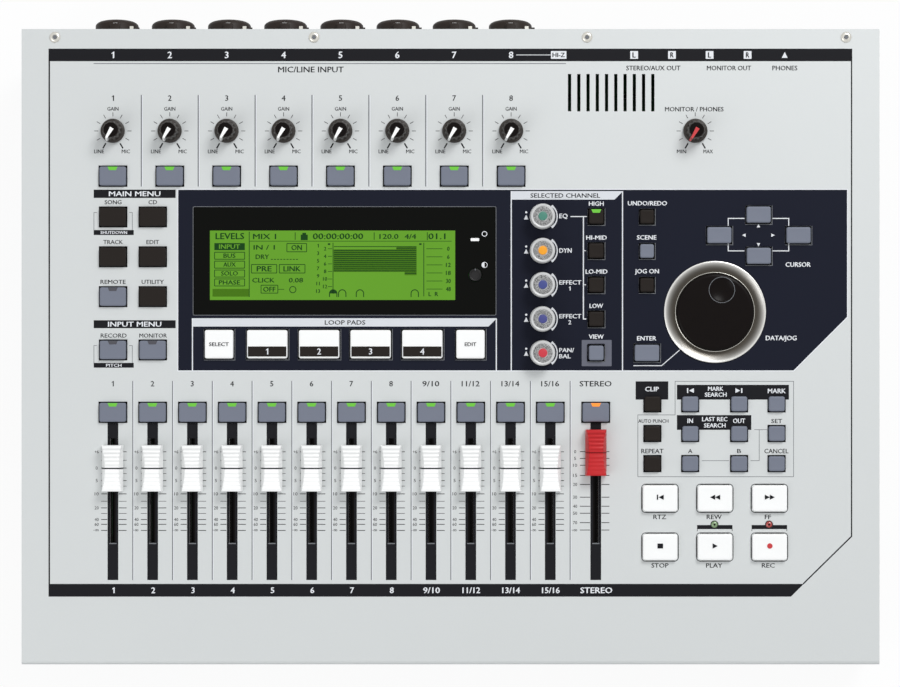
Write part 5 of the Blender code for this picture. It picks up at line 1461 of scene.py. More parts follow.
class MakeTransport(RecorderOperator, bpy.types.Operator):
    """Makes the six transport keys with their symbols, and the two lamps"""

    bl_idname = "recorder.make_transport"
    bl_label = "Transport keys"

    TOP = 3.3
    LAMP_RING = ((2.15, -SUNK), (2.15, 0.25), (2.05, 0.35), (1.75, 0.35), (1.75, -SUNK))
    LAMP_DOME = ((1.8, -SUNK), (1.8, 0.3), (1.6, 0.7), (1.1, 1.0), (0.5, 1.12))

    def execute(self, context):
        levels = [(-KEY_GAP - MAT_MARGIN, MAT_TOP - MAT_THICK), (-KEY_GAP - MAT_MARGIN, MAT_TOP)]
        levels += fillet(MAT_TOP, self.TOP, 0.8)
        body = cap(TRANSPORT_KEY[0] - 2 * KEY_GAP, TRANSPORT_KEY[1] - 2 * KEY_GAP, TRANSPORT_CORNER - KEY_GAP,
                   levels, 0.2)
        heights = (self.TOP - 0.24, self.TOP + 0.02)
        arrow = polygon(ARROW, *heights, 2.7)
        back = arrow.turned(90)
        ahead = arrow.turned(-90)
        symbols = {
            "return_key": joined((tile(-0.35, -1.35, 0.35, 1.35, *heights).moved(-1.5), back.moved(0.5))),
            "rewind_key": joined((back.moved(-1.35), back.moved(1.35))),
            "forward_key": joined((ahead.moved(-1.35), ahead.moved(1.35))),
            "stop_key": tile(-1.5, -1.3, 1.5, 1.3, *heights),
            "play_key": ahead,
            "record_key": disc(1.45, *heights),
        }
        rims = []
        for name, place in TRANSPORT.items():
            piece(f"{name}_cap", body.moved(*place), "white_key", name, stands_for=(name,))
            finish = "pointer_red" if name == "record_key" else "black_ink"
            piece(f"{name}_symbol", symbols[name].moved(place[0], place[1] + 0.7), finish, name)
            rims.append(outline_stroke(rounded(*TRANSPORT_KEY, TRANSPORT_CORNER) + place, 0.35))
        piece("transport_rims", joined(rims), "black_ink")
        self.lamps()
        return {"FINISHED"}

    def lamps(self):
        """Round lenses above play and record, each a dome in a dark ring."""
        ring = lathe(self.LAMP_RING, 32, loop=True)
        dome = lathe(self.LAMP_DOME, 32)
        for name, finish in (("play_key", "green_lens"), ("record_key", "red_lens")):
            u = TRANSPORT[name][0] - 0.2
            piece(f"{name}_lamp", dome.moved(u, LAMP_ROW), finish)
            piece(f"{name}_lamp_ring", ring.moved(u, LAMP_ROW), "black_plastic")
            core = disc(0.55, 1.0, 1.2, 16)
            piece(f"{name}_lamp_core", core.moved(u, LAMP_ROW), "dial_black")


def fader_rings(stations, grow=0.0):
    """Cross-sections of a fader cap along its length.

    The top sinks by 2.6(1 - s squared) at the share s of the half length, its edges draw in by
    1.5(1 - s squared), and ribs lift it by a wave; the foot stays a plain rectangle."""
    share = stations / CAP_HALF_LENGTH
    ribs = settings()[1].cap_ribs
    phase = (np.abs(share) - 0.1) / 0.86 * ribs
    wave = np.where((phase > 0) & (phase < ribs), np.sin(phase * math.pi) ** 2, 0)
    arch = 1 - share ** 2
    top = CAP_HEIGHT - 2.6 * arch + 0.45 * wave - 0.45 + grow
    end = np.clip((np.abs(share) - 0.96) / 0.04, 0, 1)
    top = top - 0.8 * end ** 2
    half = CAP_HALF_WIDTH - 0.25 - 1.5 * arch + grow
    foot = np.full_like(half, CAP_HALF_WIDTH + grow)
    columns = []
    for side_u, side_n in ((half - 0.8, top), (half - 0.25, top - 0.12), (half, top - 0.55),
                           (half + (foot - half) * 0.35, top * 0.6 + 1.0), (foot, np.full_like(half, 3.0)),
                           (foot, np.full_like(half, 1.0 - grow))):
        columns.append((side_u, side_n))
    right = [np.stack((u, stations, n), axis=-1) for u, n in columns]
    left = [np.stack((-u, stations, n), axis=-1) for u, n in columns[::-1]]
    return np.stack(right + left, axis=1)


CAP_HALF_LENGTH = 12.45
CAP_HALF_WIDTH = 5.7
CAP_HEIGHT = 10.5


class MakeFaders(RecorderOperator, bpy.types.Operator):
    """Makes the fader caps with their waist, ribs, line and lever"""

    bl_idname = "recorder.make_faders"
    bl_label = "Fader caps"

    def execute(self, context):
        stations = np.linspace(-CAP_HALF_LENGTH, CAP_HALF_LENGTH, 97)
        body = skin(fader_rings(stations))
        lever = slab((-0.6, -2.5, -7.0), (0.6, 2.5, 1.5))
        line = skin(fader_rings(np.linspace(-0.36, 0.36, 3), 0.04))
        for number, u in enumerate(COLUMNS, 1):
            name = "fader_stereo" if number == len(COLUMNS) else f"fader_{number}"
            place = middle_of(name)
            finish = "red_cap" if name == "fader_stereo" else "white_cap"
            mark = "dark_red" if name == "fader_stereo" else "black_ink"
            piece(f"{name}_cap", body.moved(*place), finish, name, stands_for=(name,))
            piece(f"{name}_lever", lever.moved(*place), "black_plastic", name)
            piece(f"{name}_line", line.moved(*place), mark, name)
        return {"FINISHED"}


class MakeJog(RecorderOperator, bpy.types.Operator):
    """Makes the turned jog ring and the dial with its finger dimple"""

    bl_idname = "recorder.make_jog"
    bl_label = "Jog wheel"

    TOP = 4.2
    DIMPLE = (3.5, 11.9)
    DIMPLE_RADIUS = 6.9
    DIMPLE_DEPTH = 1.5

    def execute(self, context):
        share = np.linspace(0, 1, 12)
        inner = JOG_DIAL + 0.6
        dish = list(zip(26.9 + (inner - 26.9) * share, 1.1 - 1.6 * np.sin(share * math.pi / 2)))
        profile = [(26.2, -9.7), (26.2, 0.3), (JOG_RIM, 0.3), (JOG_RIM, 0.6), (27.5, 0.95), (27.2, 1.1)]
        ring = lathe(profile + dish + [(inner, -9.7)], 128, loop=True)
        piece("jog_ring", ring.moved(*JOG), "jog_silver", stands_for=("jog_bezel",))
        piece("jog_wheel", self.dial().moved(*JOG), "dial_black", "jog_dial", stands_for=("jog_dial",))
        lip = lathe(((inner - 0.05, -0.6), (inner - 0.05, 0.25), (inner - 0.25, 0.35), (inner - 0.45, 0.2),
                     (inner - 0.45, -0.6)), 128, loop=True)
        piece("jog_lip", lip.moved(*JOG), "nickel")
        # Painted highlight: a grey ring on the black dial at the dimple's lip, where the lip catches the
        # light
        outer = self.DIMPLE_RADIUS + 0.18
        within = self.DIMPLE_RADIUS - 0.1
        crest = self.TOP + 0.17
        rim = lathe(((outer, self.TOP), (outer, crest), (within, crest), (within, self.TOP)), 96, loop=True)
        piece("dimple_lip_highlight", rim.moved(*(JOG + self.DIMPLE)), "grey_ink", "jog_dial")
        return {"FINISHED"}

    def dial(self):
        """The dial: turned walls, and a top of rings whose height dips inside the dimple.

        The dip is depth times (1 - (distance / radius) squared), smoothed at its lip."""
        sides = 160
        angle = np.linspace(0, math.tau, sides, endpoint=False)
        walls = [(3.0, -9.4), (3.0, -2.0), (JOG_DIAL - 0.3, -2.0), (JOG_DIAL, -1.7), (JOG_DIAL, 2.6),
                 (JOG_DIAL - 0.15, 3.2), (JOG_DIAL - 0.5, 3.75), (JOG_DIAL - 1.1, 4.05)]
        tops = [(radius, self.TOP) for radius in np.linspace(JOG_DIAL - 2.0, 0.3, 56)]
        rows = np.array(walls + tops)
        points = np.stack((rows[:, :1] * np.cos(angle), rows[:, :1] * np.sin(angle),
                           np.repeat(rows[:, 1:], sides, axis=1)), axis=-1)
        away = np.hypot(points[..., 0] - self.DIMPLE[0], points[..., 1] - self.DIMPLE[1])
        inside = np.clip(1 - (away / self.DIMPLE_RADIUS) ** 2, 0, 1)
        lip = 0.16 * np.exp(-((away - self.DIMPLE_RADIUS) / 0.35) ** 2)
        on_top = np.arange(len(rows))[:, None] >= len(walls)
        points[..., 2] += np.where(on_top, lip - self.DIMPLE_DEPTH * inside ** 0.8, 0)
        return skin(points)


class MakeDisplay(RecorderOperator, bpy.types.Operator):
    """Lays the lit screen, its contents, the window's outline and the small icons"""

    bl_idname = "recorder.make_display"
    bl_label = "Display"

    LEFT = -130.4
    RIGHT = 2.5
    FRONT_EDGE = 24.4
    REAR_EDGE = 62.0

    def execute(self, context):
        low = WINDOW_HIGH[2] - 0.02
        glass = slab((self.LEFT, self.FRONT_EDGE, low), (self.RIGHT, self.REAR_EDGE, low + 0.04))
        piece("screen_sheet", glass, "screen")
        shades = [self.field(*edges, low + 0.03, low + 0.05) for edges in SCREEN_SHADES]
        piece("screen_shades", joined(shades), "screen_shade")
        piece("screen_marks", joined(self.contents(low + 0.04, low + 0.06)), "screen_ink")
        place = (self.LEFT + 10.6, self.REAR_EDGE - 8.7)
        chosen = word("INPUT", place, 11.4, 2.4, low + 0.05, low + 0.07, BOLD)
        piece("screen_chosen", chosen, "screen")
        outline = rounded(163.9, 58.5, 0.6, 2) + ((WINDOW_LOW + WINDOW_HIGH)[:2] / 2)
        piece("window_edge", outline_stroke(outline, 0.3, -SUNK, 0.12), "grey_ink")
        slot = cap(4.6, 1.6, 0.4, [(0, low), (0, low + 0.1), (0.1, low + 0.16)])
        piece("indicator", slot.moved(13.2, 57.1), "white_key")
        icons = [sector(1.3, 0.4, 0, 359.9, low, low + 0.05).moved(18.4, 60.2),
                 disc(1.6, low, low + 0.05).moved(18.4, 43.4)]
        piece("window_icons", joined(icons), "white_ink")
        half = sector(0.7, 1.2, -90, 90, low + 0.04, low + 0.08)
        piece("icon_half", half.moved(18.4, 43.4), "dial_black")
        return {"FINISHED"}

    def field(self, left, rear, right, front, low, high):
        """A rectangle whose edges are measured from the screen's rear left corner."""
        return tile(self.LEFT + left, self.REAR_EDGE - front, self.LEFT + right, self.REAR_EDGE - rear,
                    low, high)

    def contents(self, low, high):
        """A plain arrangement: a title, counters, a menu, boxed words, a level scale and markers."""
        def box(left, rear, right, front):
            return self.field(left, rear, right, front, low, high)

        def frame_box(left, rear, right, front):
            size = (right - left - 0.8, front - rear - 0.8)
            middle = (self.LEFT + (left + right) / 2, self.REAR_EDGE - (rear + front) / 2)
            return outline_stroke(rounded(*size, 0.05, 1) + middle, 0.4, low, high)

        def text(words, u, v, width, height=2.3):
            return word(words, (self.LEFT + u, self.REAR_EDGE - v), width, height, low, high, BOLD)

        def arch(u, share):
            bow = sector(2.0 - share, 0.5 + 2 * share, 0, 180, low, high)
            return joined((bow.moved(self.LEFT + u, 27.9), box(u - 2.25, 34.1, u - 1.75, 36.0),
                           box(u + 1.75, 34.1, u + 2.25, 36.0)))

        shapes = [text(*line) for line in SCREEN_WORDS]
        shapes += [box(*corners) for corners in SCREEN_BOXES]
        shapes += [frame_box(*corners) for corners in SCREEN_FRAMES]
        shapes += [frame_box(2.3, 6.7 + row * 4.83, 19.0, 10.9 + row * 4.83) for row in range(1, 5)]
        shapes += [box(33 + step * 1.7, 15.4, 34.1 + step * 1.7, 15.8) for step in range(9)]
        shapes += [text(str(row * 2 + 1), 58.6, 8.2 + row * 4.1, 0.0, 2.0) for row in range(7)]
        shapes += [text(str(row * 2 + 2), 62.4, 9.8 + row * 4.1, 0.0, 2.0) for row in range(6)]
        shapes += [box(63.9, 9.7 + row * 4.1, 66.2, 10.0 + row * 4.1) for row in range(6)]
        shapes += [box(67.2, 10.5 + row * 1.11, 111.9, 10.98 + row * 1.11) for row in range(11)]
        shapes += [box(117.3, 9.7 + row * 4.37, 126.0, 10.0 + row * 4.37) for row in range(6)]
        shapes += [text(level, 129.2, 9.85 + row * 4.37, 1.35 * len(level))
                   for row, level in enumerate(("0", "6", "12", "18", "30", "48"))]
        shapes += [arch(66.8, 0.9), arch(71.7, 0), arch(81.3, 0), arch(111.0, 0)]
        shapes.append(sector(1.7, 0.45, 0, 360, low, high).moved(self.LEFT + 44.9, self.REAR_EDGE - 32.0))
        return shapes


# Words and numbers on the screen: text, place from its rear left corner, width and letter height
SCREEN_WORDS = (
    ("LEVELS", 10.8, 3.0, 15.6, 3.4),
    ("MIX 1", 29.6, 3.2, 12.6, 2.9),
    ("00:00:00:00", 69.4, 3.1, 27.4, 3.2),
    ("120.0", 97.0, 3.2, 10.4, 2.7),
    ("4/4", 108.6, 3.2, 6.4, 2.7),
    ("01.1", 123.0, 3.1, 9.4, 3.2),
    ("BUS", 10.6, 13.6, 6.6, 2.4),
    ("AUX", 10.6, 18.4, 6.8, 2.4),
    ("SOLO", 10.6, 23.2, 9.2, 2.4),
    ("PHASE", 10.6, 28.1, 11.6, 2.4),
    ("IN / 1", 29.4, 9.1, 11.6, 2.5),
    ("ON", 47.0, 9.2, 5.8, 2.9),
    ("DRY", 28.4, 14.2, 7.4, 2.5),
    ("PRE", 29.4, 20.7, 8.2, 2.9),
    ("LINK", 44.5, 20.7, 9.4, 2.9),
    ("CLICK", 29.0, 26.9, 12.2, 2.5),
    ("0.08", 46.6, 26.9, 7.8, 2.5),
    ("OFF", 32.2, 31.8, 6.8, 2.7),
    ("L", 119.2, 34.4, 0.0, 2.3),
    ("R", 122.8, 34.4, 0.0, 2.3),
)
# Lines, blocks and frames on the screen, as left, rear, right and front edges
SCREEN_BOXES = (
    (21.1, 0.6, 21.5, 36.0),
    (21.5, 5.6, 131.0, 5.9),
    (46.0, 1.0, 46.4, 5.0),
    (88.8, 1.0, 89.2, 5.0),
    (49.2, 2.2, 53.0, 5.2),
    (50.1, 1.2, 52.1, 2.3),
    (117.6, 0.9, 118.0, 5.2),
    (2.4, 6.8, 18.9, 10.6),
    (37.0, 31.7, 40.2, 32.0),
    (66.5, 6.6, 66.9, 34.2),
    (115.7, 6.6, 116.1, 35.6),
    (67.2, 8.5, 111.9, 8.9),
    (101.0, 9.3, 111.9, 9.8),
    (105.5, 22.9, 111.9, 23.4),
    (63.9, 6.9, 65.2, 7.8),
    (113.4, 6.9, 114.7, 7.8),
)
SCREEN_FRAMES = (
    (41.5, 6.8, 52.6, 11.7),
    (22.3, 18.2, 36.4, 23.2),
    (37.4, 18.2, 51.7, 23.2),
    (27.5, 29.4, 37.0, 34.1),
)
# Half-dark fields of the screen
SCREEN_SHADES = (
    (1.4, 31.6, 21.1, 35.8),
    (67.0, 10.2, 112.0, 22.4),
    (101.0, 8.6, 112.0, 10.3),
    (105.5, 22.3, 112.0, 24.2),
)


def on_rear(name, shape, places, finish, body="chassis", stands_for=()):
    """Copies of one shape at places on the rear panel, as one piece."""
    piece(name, joined(shape.moved(*place) for place in places), finish, body, REAR, stands_for)


class MakeJacks(RecorderOperator, bpy.types.Operator):
    """Makes the input jacks and the sockets of the rear panel"""

    bl_idname = "recorder.make_jacks"
    bl_label = "Jacks and sockets"

    INPUT_ROW = 62.0
    SOCKET_ROW = 29.0
    OUTPUTS = (60.0, 99.5, 120.0, 140.4, 161.0, 181.1)
    COAXIAL = (-50.0, -30.0)
    CONTROL = (-110.0, -85.0)
    DATA = -142.0
    INLET = -175.0
    STANDBY = -206.0

    # Radius and height of each ring of the input jacks
    NOSE = ((11.8, -3.0), (11.8, 7.4), (11.6, 8.1), (10.9, 8.9), (9.9, 9.5), (8.7, 9.85), (7.9, 9.9),
            (7.5, 9.6), (7.35, 8.9), (4.2, 8.8), (3.6, 9.0), (3.25, 8.8), (3.25, -9.0), (1.5, -9.2))
    NOSE_RIM = ((12.6, -0.1), (12.6, 0.9), (12.3, 1.2), (11.7, 1.2), (11.7, -0.1))

    # Radius and height of each ring of the other sockets
    COLLAR = ((6.4, -0.1), (6.4, 1.2), (6.1, 1.5), (5.2, 1.5), (5.2, 2.5), (5.0, 2.7), (3.6, 2.7),
              (3.3, 2.4), (3.3, -0.1))
    SLEEVE = ((3.2, -17.8), (3.2, 2.2), (3.0, 2.3), (2.9, 2.2), (2.9, -17.4))
    COAXIAL_RING = ((5.0, -0.1), (5.0, 1.0), (4.3, 1.2), (4.3, 6.0), (4.1, 6.15), (3.2, 6.15), (3.0, 5.9),
                    (3.0, 0.5), (2.0, 0.4), (2.0, -0.1))
    COAXIAL_PIN = ((1.6, 6.0), (1.6, 6.2), (1.2, 6.3))
    CONTROL_RIM = ((8.6, -0.1), (8.6, 0.7), (8.2, 1.0), (7.3, 1.0), (7.1, 0.5), (7.1, -0.1))
    INLET_RIM = ((5.8, -0.1), (5.8, 0.7), (5.5, 0.9), (2.9, 0.9), (2.7, 0.5), (2.7, -0.1))
    INLET_PIN = ((1.0, 0.0), (1.0, 0.9), (0.7, 1.1))
    GUARD = ((5.4, -0.1), (5.4, 0.8), (5.1, 1.0), (4.7, 1.0), (4.6, -0.1))
    BUTTON = ((4.2, -0.2), (4.2, 3.4), (4.0, 3.9), (3.5, 4.15), (2.4, 4.0), (1.2, 3.9))

    def execute(self, context):
        self.input_jacks()
        self.sockets()
        self.rear_plate()
        return {"FINISHED"}

    def input_jacks(self):
        """Noses with a tapered mouth, a phone bore and three contact holes, and a latch tab."""
        nose = lathe(self.NOSE, 72)
        rim = lathe(self.NOSE_RIM, 64, loop=True)
        tab = cap(5.2, 3.4, 0.6, [(0, 0.0), (0, 6.2), (0.5, 6.9)]).moved(0, 13.0)
        tab_mark = cap(2.6, 1.0, 0.3, [(0, 6.8), (0, 7.05), (0.1, 7.12)]).moved(0, 13.2)
        turns = (60, 180, 300)
        contacts = joined(disc(1.45, 8.7, 8.9, 20).moved(0, 5.7).turned(turn) for turn in turns)
        pins = joined(disc(0.8, 8.8, 8.98, 16).moved(0, 5.7).turned(turn) for turn in turns)
        body = slab((-13.0, -13.0, -23.4), (13.0, 13.0, -1.5))
        places = [(-u, self.INPUT_ROW) for u in INPUTS]
        plate = tile(places[7][0] - 17, self.INPUT_ROW - 17, places[0][0] + 17, self.INPUT_ROW + 17,
                     -25.0, -23.4)
        on_rear("input_jack_noses", joined((nose, tab)), places, "jack_black", stands_for=("input_jacks",))
        bodies = [body.moved(*place) for place in places]
        piece("input_jack_bodies", joined(bodies + [plate]), "black_plastic", face=REAR)
        on_rear("input_jack_rims", rim, places, "case_paint")
        on_rear("input_jack_contacts", contacts, places, "dial_black")
        on_rear("input_jack_pins", pins, places, "nickel")
        on_rear("input_jack_tabs", tab_mark, places, "white_key")
        on_rear("input_jack_latches", slab((-13.1, 9.6, 0.0), (-9.9, 12.0, 4.8)), places, "jack_black")
        on_rear("input_jack_catches", slab((-9.8, 9.2, 0.0), (-7.8, 11.6, 5.6)), places, "nickel")

    def spots(self, columns):
        """Places in the row of sockets, whose columns are given as seen from the front."""
        return [(-u, self.SOCKET_ROW) for u in columns]

    def sockets(self):
        """Collars and sleeves of the output jacks, and the rings of the other sockets."""
        coaxial = lathe(self.COAXIAL_RING, 48, loop=True)
        round_rim = lathe(self.CONTROL_RIM, 64, loop=True)
        inlet_parts = joined((lathe(self.INLET_RIM, 48, loop=True), lathe(self.INLET_PIN, 24)))
        holes = joined(disc(0.8, 0.15, 0.35, 16).moved(0, 4.4).turned(turn) for turn in (-90, -45, 0, 45, 90))
        outputs = self.spots(self.OUTPUTS)
        coaxials = self.spots(self.COAXIAL)
        controls = self.spots(self.CONTROL)
        data = self.spots([self.DATA])
        inlet = self.spots([self.INLET])
        standby = self.spots([self.STANDBY])
        on_rear("output_collars", lathe(self.COLLAR, 48, loop=True), outputs, "black_plastic")
        on_rear("output_sleeves", lathe(self.SLEEVE, 48), outputs, "dial_black")
        rings = [coaxial.moved(*place) for place in coaxials]
        rings += [round_rim.moved(*place) for place in controls]
        piece("socket_rings", joined(rings), "nickel", face=REAR)
        on_rear("coaxial_pins", lathe(self.COAXIAL_PIN, 24), coaxials, "black_plastic")
        faces = [disc(7.2, 0.1, 0.25, 48).moved(*place) for place in controls]
        faces += [disc(4.9, 0.1, 0.25, 32).moved(*place) for place in inlet]
        piece("socket_faces", joined(faces), "black_plastic", face=REAR)
        on_rear("control_holes", holes, controls, "dial_black")
        on_rear("inlet_rim", inlet_parts, inlet, "nickel")
        on_rear("data_shell", outline_stroke(rounded(11.0, 9.6, 0.8, 2), 0.6, -0.1, 0.6), data, "nickel")
        on_rear("data_face", tile(-5.5, -4.8, 5.5, 4.8, 0.1, 0.25), data, "dial_black")
        on_rear("data_tongue", tile(-2.6, -1.4, 2.6, 1.6, 0.1, 0.45), data, "white_key")
        on_rear("standby_guard", lathe(self.GUARD, 48, loop=True), standby, "case_paint")
        on_rear("standby_cap", lathe(self.BUTTON, 48), standby, "black_plastic", "standby_button")

    def rear_plate(self):
        """Words, numbers and small screws on the rear panel."""
        words = [word(text, (u, self.SOCKET_ROW + rise), width, 2.2) for text, u, rise, width in REAR_WORDS]
        for number, u in enumerate(INPUTS, 1):
            words.append(word(str(number), (-u, self.INPUT_ROW - 16.2), 0.0, 2.8))
        piece("rear_words", joined(words), "white_ink", face=REAR)
        on_rear("rear_screws", cross_screw(2.4, 1.8), REAR_SCREWS, "nickel")


# Words on the rear panel: text, place across, height above the sockets' row, and width
REAR_WORDS = (
    ("PHONES", -181.1, 11, 12),
    ("OUT R", -161.0, 11, 9),
    ("OUT L", -140.4, 11, 9),
    ("OUT R", -120.0, 11, 9),
    ("OUT L", -99.5, 11, 9),
    ("FOOT", -60.0, 11, 8),
    ("IN", 30.0, 10, 3),
    ("OUT", 50.0, 10, 6),
    ("IN", 85.0, 12.5, 3),
    ("OUT", 110.0, 12.5, 6),
    ("DC IN", 175.0, 10, 9),
    ("ON", 206.0, 10, 4.5),
)
REAR_SCREWS = ((-224, 82), (226, 82), (210.5, 82), (-224, 14), (224, 14), (0, 14))


def cross_screw(radius, height, sides=32):
    """A pan head with a cross slot: the top dips where either axis distance is small."""
    angle = np.linspace(0, math.tau, sides, endpoint=False)
    rings = np.array([(1.0, -0.02), (1.0, 0.4), (0.97, 0.62), (0.88, 0.85), (0.7, 0.97), (0.55, 1.0),
                      (0.4, 1.0), (0.25, 1.0), (0.1, 1.0)])
    u = radius * rings[:, :1] * np.cos(angle)
    v = radius * rings[:, :1] * np.sin(angle)
    n = np.repeat(height * rings[:, 1:], sides, axis=1)
    slot = (np.minimum(np.abs(u), np.abs(v)) < 0.13 * radius) & (np.hypot(u, v) < 0.6 * radius)
    n = np.where(slot, 0.55 * height, n)
    return skin(np.stack((u, v, n), axis=-1))


class MakeTray(RecorderOperator, bpy.types.Operator):
    """Finishes the disc tray's front plate and the feet"""

    bl_idname = "recorder.make_tray"
    bl_label = "Tray and feet"

    # Radius and height of each ring of a foot
    FOOT = ((10.0, -5.7), (10.0, -1.6), (9.8, -0.8), (9.2, -0.2), (8.4, 0.0), (7.2, 0.0), (6.9, -0.5),
            (4.2, -0.6), (4.0, -3.2), (2.0, -3.4))

    def execute(self, context):
        low, high = FRONT.node("cd_tray")
        centre = (low + high)[:2] / 2
        width = (high - low)[0]
        plate = cap(width, (high - low)[1], 1.0, [(0, -0.5), (0, 0.5), (0.15, 0.85), (0.5, 1.0)])
        piece("tray_plate", plate.moved(*centre), "black_plastic", "cd_tray", FRONT)
        line = slab((-58, 1.2, 0.9), (20, 1.5, 1.04))
        piece("tray_line", line.moved(*centre), "frame_ink", "cd_tray", FRONT)
        small = (("eject_button", cap(11.0, 4.2, 0.9, [(0, 0.5), (0, 1.5), (0.2, 1.8), (0.5, 1.9)]), 50,
                  "knob_plastic"),
                 ("tray_light", cap(3.6, 1.4, 0.4, [(0, 0.5), (0, 1.1), (0.2, 1.3)]), 37, "green_lens"),
                 ("tray_pinhole", disc(0.6, 0.9, 1.05, 12), 29, "dial_black"))
        for name, shape, right, finish in small:
            piece(name, shape.moved(centre[0] + right, centre[1] - 0.6), finish, "cd_tray", FRONT)
        foot = lathe(self.FOOT, 64)
        for number in range(1, 5):
            name = f"foot_{number}"
            place = middle_of(name, UNDER)
            piece(f"{name}_rubber", foot.moved(*place), "rubber", face=UNDER, stands_for=(name,))
        return {"FINISHED"}


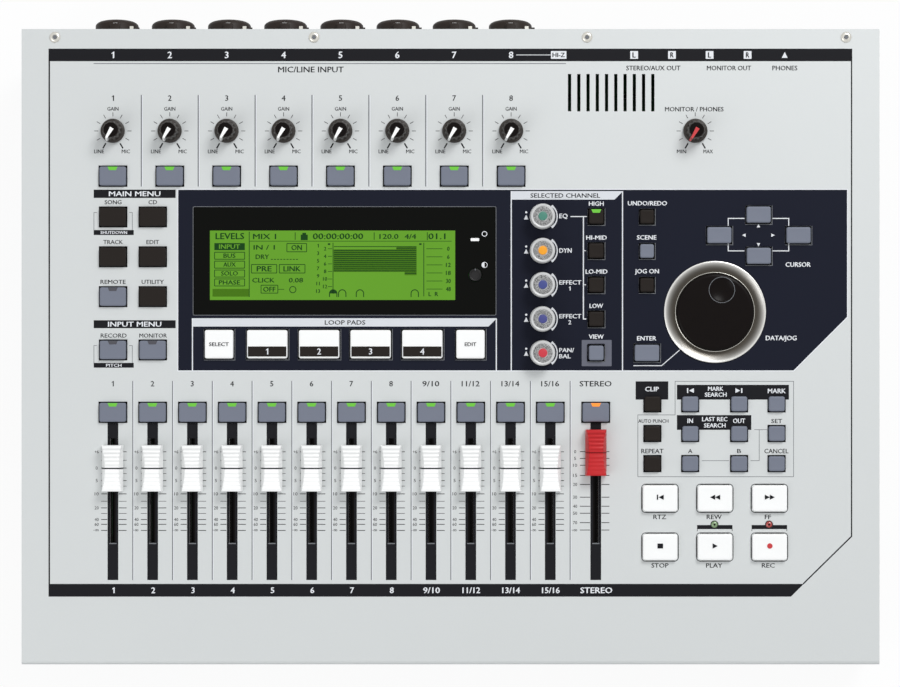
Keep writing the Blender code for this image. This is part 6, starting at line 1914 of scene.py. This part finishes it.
class MakeStage(RecorderOperator, bpy.types.Operator):
    """Lays the floor and sets the lights and the camera"""

    bl_idname = "recorder.make_stage"
    bl_label = "Stage"

    VIEW_WIDTH = 0.4878
    SENSOR = 36.0
    FLOOR_WIDTH = 6.0
    FLOOR_GLOW = 0.93
    SKY_COLOUR = (0.95, 0.98, 1.0, 1.0)
    WHITE = (1, 1, 1, 1)
    AIM = (-0.3, 0.8)

    # Lamps: name, place, width and share of the main lamp's power
    LAMPS = (("main_lamp", (0.8, 1.1, 1.9), 0.9, 1.0), ("fill_lamp", (-1.1, -0.9, 1.3), 1.2, 0.25))

    def execute(self, context):
        stage = context.scene.recorder_stage
        self.floor(stage)
        self.world(stage)
        self.lights(stage)
        self.camera(stage)
        context.scene.view_settings.view_transform = "Standard"
        return {"FINISHED"}

    def floor(self, stage):
        """A plain pale floor that shows white to the camera and keeps the shadow."""
        finish = Finish("floor", "silver_paint", stage.floor, 0.7)
        dust = finish.noise(60.0)
        finish.feed("Base Color", finish.shade(dust, 0.985))
        rays = finish.tree.nodes.new("ShaderNodeLightPath")
        seen = Value(finish, rays.outputs["Is Camera Ray"])
        mirrored = Value(finish, rays.outputs["Is Glossy Ray"])
        glow = finish.tree.nodes.new("ShaderNodeEmission")
        glow.inputs["Color"].default_value = self.WHITE
        plain = Value(finish, finish.shader.outputs[0])
        white = Value(finish, glow.outputs[0])
        mixed = finish.node("MixShader", {}, {0: (seen + mirrored) * self.FLOOR_GLOW, 1: plain, 2: white})
        output = finish.tree.nodes["Material Output"]
        finish.tree.links.new(mixed.socket, output.inputs["Surface"])
        mesh = bpy.data.meshes.new("floor")
        half = self.FLOOR_WIDTH / 2
        corners = [(-half, -half, 0), (half, -half, 0), (half, half, 0), (-half, half, 0)]
        mesh.from_pydata(corners, [], [(0, 1, 2, 3)])
        mesh.materials.append(finish.material)
        made = bpy.data.objects.new("floor", mesh)
        bpy.context.scene.collection.objects.link(made)

    def world(self, stage):
        """Even light from all round, white where the camera or a gloss surface sees it."""
        world = bpy.data.worlds.new("studio")
        world.use_nodes = True
        bpy.context.scene.world = world
        tree = world.node_tree
        plain = tree.nodes["Background"]
        plain.inputs["Color"].default_value = self.SKY_COLOUR
        plain.inputs["Strength"].default_value = stage.sky
        white = tree.nodes.new("ShaderNodeBackground")
        white.inputs["Strength"].default_value = 1.0
        white.inputs["Color"].default_value = self.WHITE
        rays = tree.nodes.new("ShaderNodeLightPath")
        either = tree.nodes.new("ShaderNodeMath")
        either.operation = "MAXIMUM"
        tree.links.new(rays.outputs["Is Camera Ray"], either.inputs[0])
        tree.links.new(rays.outputs["Is Glossy Ray"], either.inputs[1])
        mixed = tree.nodes.new("ShaderNodeMixShader")
        tree.links.new(either.outputs[0], mixed.inputs[0])
        tree.links.new(plain.outputs[0], mixed.inputs[1])
        tree.links.new(white.outputs[0], mixed.inputs[2])
        tree.links.new(mixed.outputs[0], tree.nodes["World Output"].inputs["Surface"])

    def lights(self, stage):
        """A large soft lamp behind and to the right, and a weaker one at the front left."""
        target = Vector(DECK.middle)
        for name, place, size, share in self.LAMPS:
            lamp_data = bpy.data.lights.new(name, "AREA")
            lamp_data.shape = "DISK"
            lamp_data.size = size
            lamp_data.energy = stage.lamp_power * share
            made = bpy.data.objects.new(name, lamp_data)
            made.location = place
            made.rotation_euler = (target - Vector(place)).to_track_quat("-Z", "Y").to_euler()
            bpy.context.scene.collection.objects.link(made)

    def camera(self, stage):
        """Square to the deck, as in the photograph, with its frame's width across the deck."""
        data = bpy.data.cameras.new("camera")
        data.sensor_width = self.SENSOR
        data.lens = self.SENSOR * stage.camera_distance / self.VIEW_WIDTH
        data.clip_end = 20.0
        made = bpy.data.objects.new("camera", data)
        aim = DECK.world(np.array((*self.AIM, 0.0)))
        made.location = Vector(aim + stage.camera_distance * DECK.axes[2])
        made.rotation_euler = Matrix(DECK.axes.T.tolist()).to_euler()
        bpy.context.scene.collection.objects.link(made)
        bpy.context.scene.camera = made


OPERATORS = (MakeFinishes, MakePrint, MakeHeaders, MakeLines, MakeWords, MakeScrews, MakeKnobs, MakeEncoders,
             MakeKeys, MakeTransport, MakeFaders, MakeJog, MakeDisplay, MakeJacks, MakeTray, MakeStage)
GROUPS = (RecorderColours, RecorderSizes, RecorderStage)


class RECORDER_PT_looks(bpy.types.Panel):
    """Lists the recorder's operators and settings"""

    bl_label = "Recorder"
    bl_idname = "RECORDER_PT_looks"
    bl_space_type = "VIEW_3D"
    bl_region_type = "UI"
    bl_category = "Recorder"

    def draw(self, context):
        scene = context.scene
        for operator in OPERATORS:
            self.layout.operator(operator.bl_idname)
        for group in (scene.recorder_colours, scene.recorder_sizes, scene.recorder_stage):
            for name in group.__annotations__:
                self.layout.prop(group, name)


def register():
    """Registers the settings, the operators and the panel."""
    for made in (*GROUPS, *OPERATORS, RECORDER_PT_looks):
        bpy.utils.register_class(made)
    bpy.types.Scene.recorder_colours = bpy.props.PointerProperty(type=RecorderColours)
    bpy.types.Scene.recorder_sizes = bpy.props.PointerProperty(type=RecorderSizes)
    bpy.types.Scene.recorder_stage = bpy.props.PointerProperty(type=RecorderStage)


def unregister():
    """Takes the panel, the operators and the settings away again."""
    del bpy.types.Scene.recorder_stage
    del bpy.types.Scene.recorder_sizes
    del bpy.types.Scene.recorder_colours
    for made in reversed((*GROUPS, *OPERATORS, RECORDER_PT_looks)):
        bpy.utils.unregister_class(made)


def main():
    """Makes every piece in order."""
    register()
    for operator in OPERATORS:
        group, name = operator.bl_idname.split(".")
        getattr(getattr(bpy.ops, group), name)()


if __name__ == "__main__":
    main()
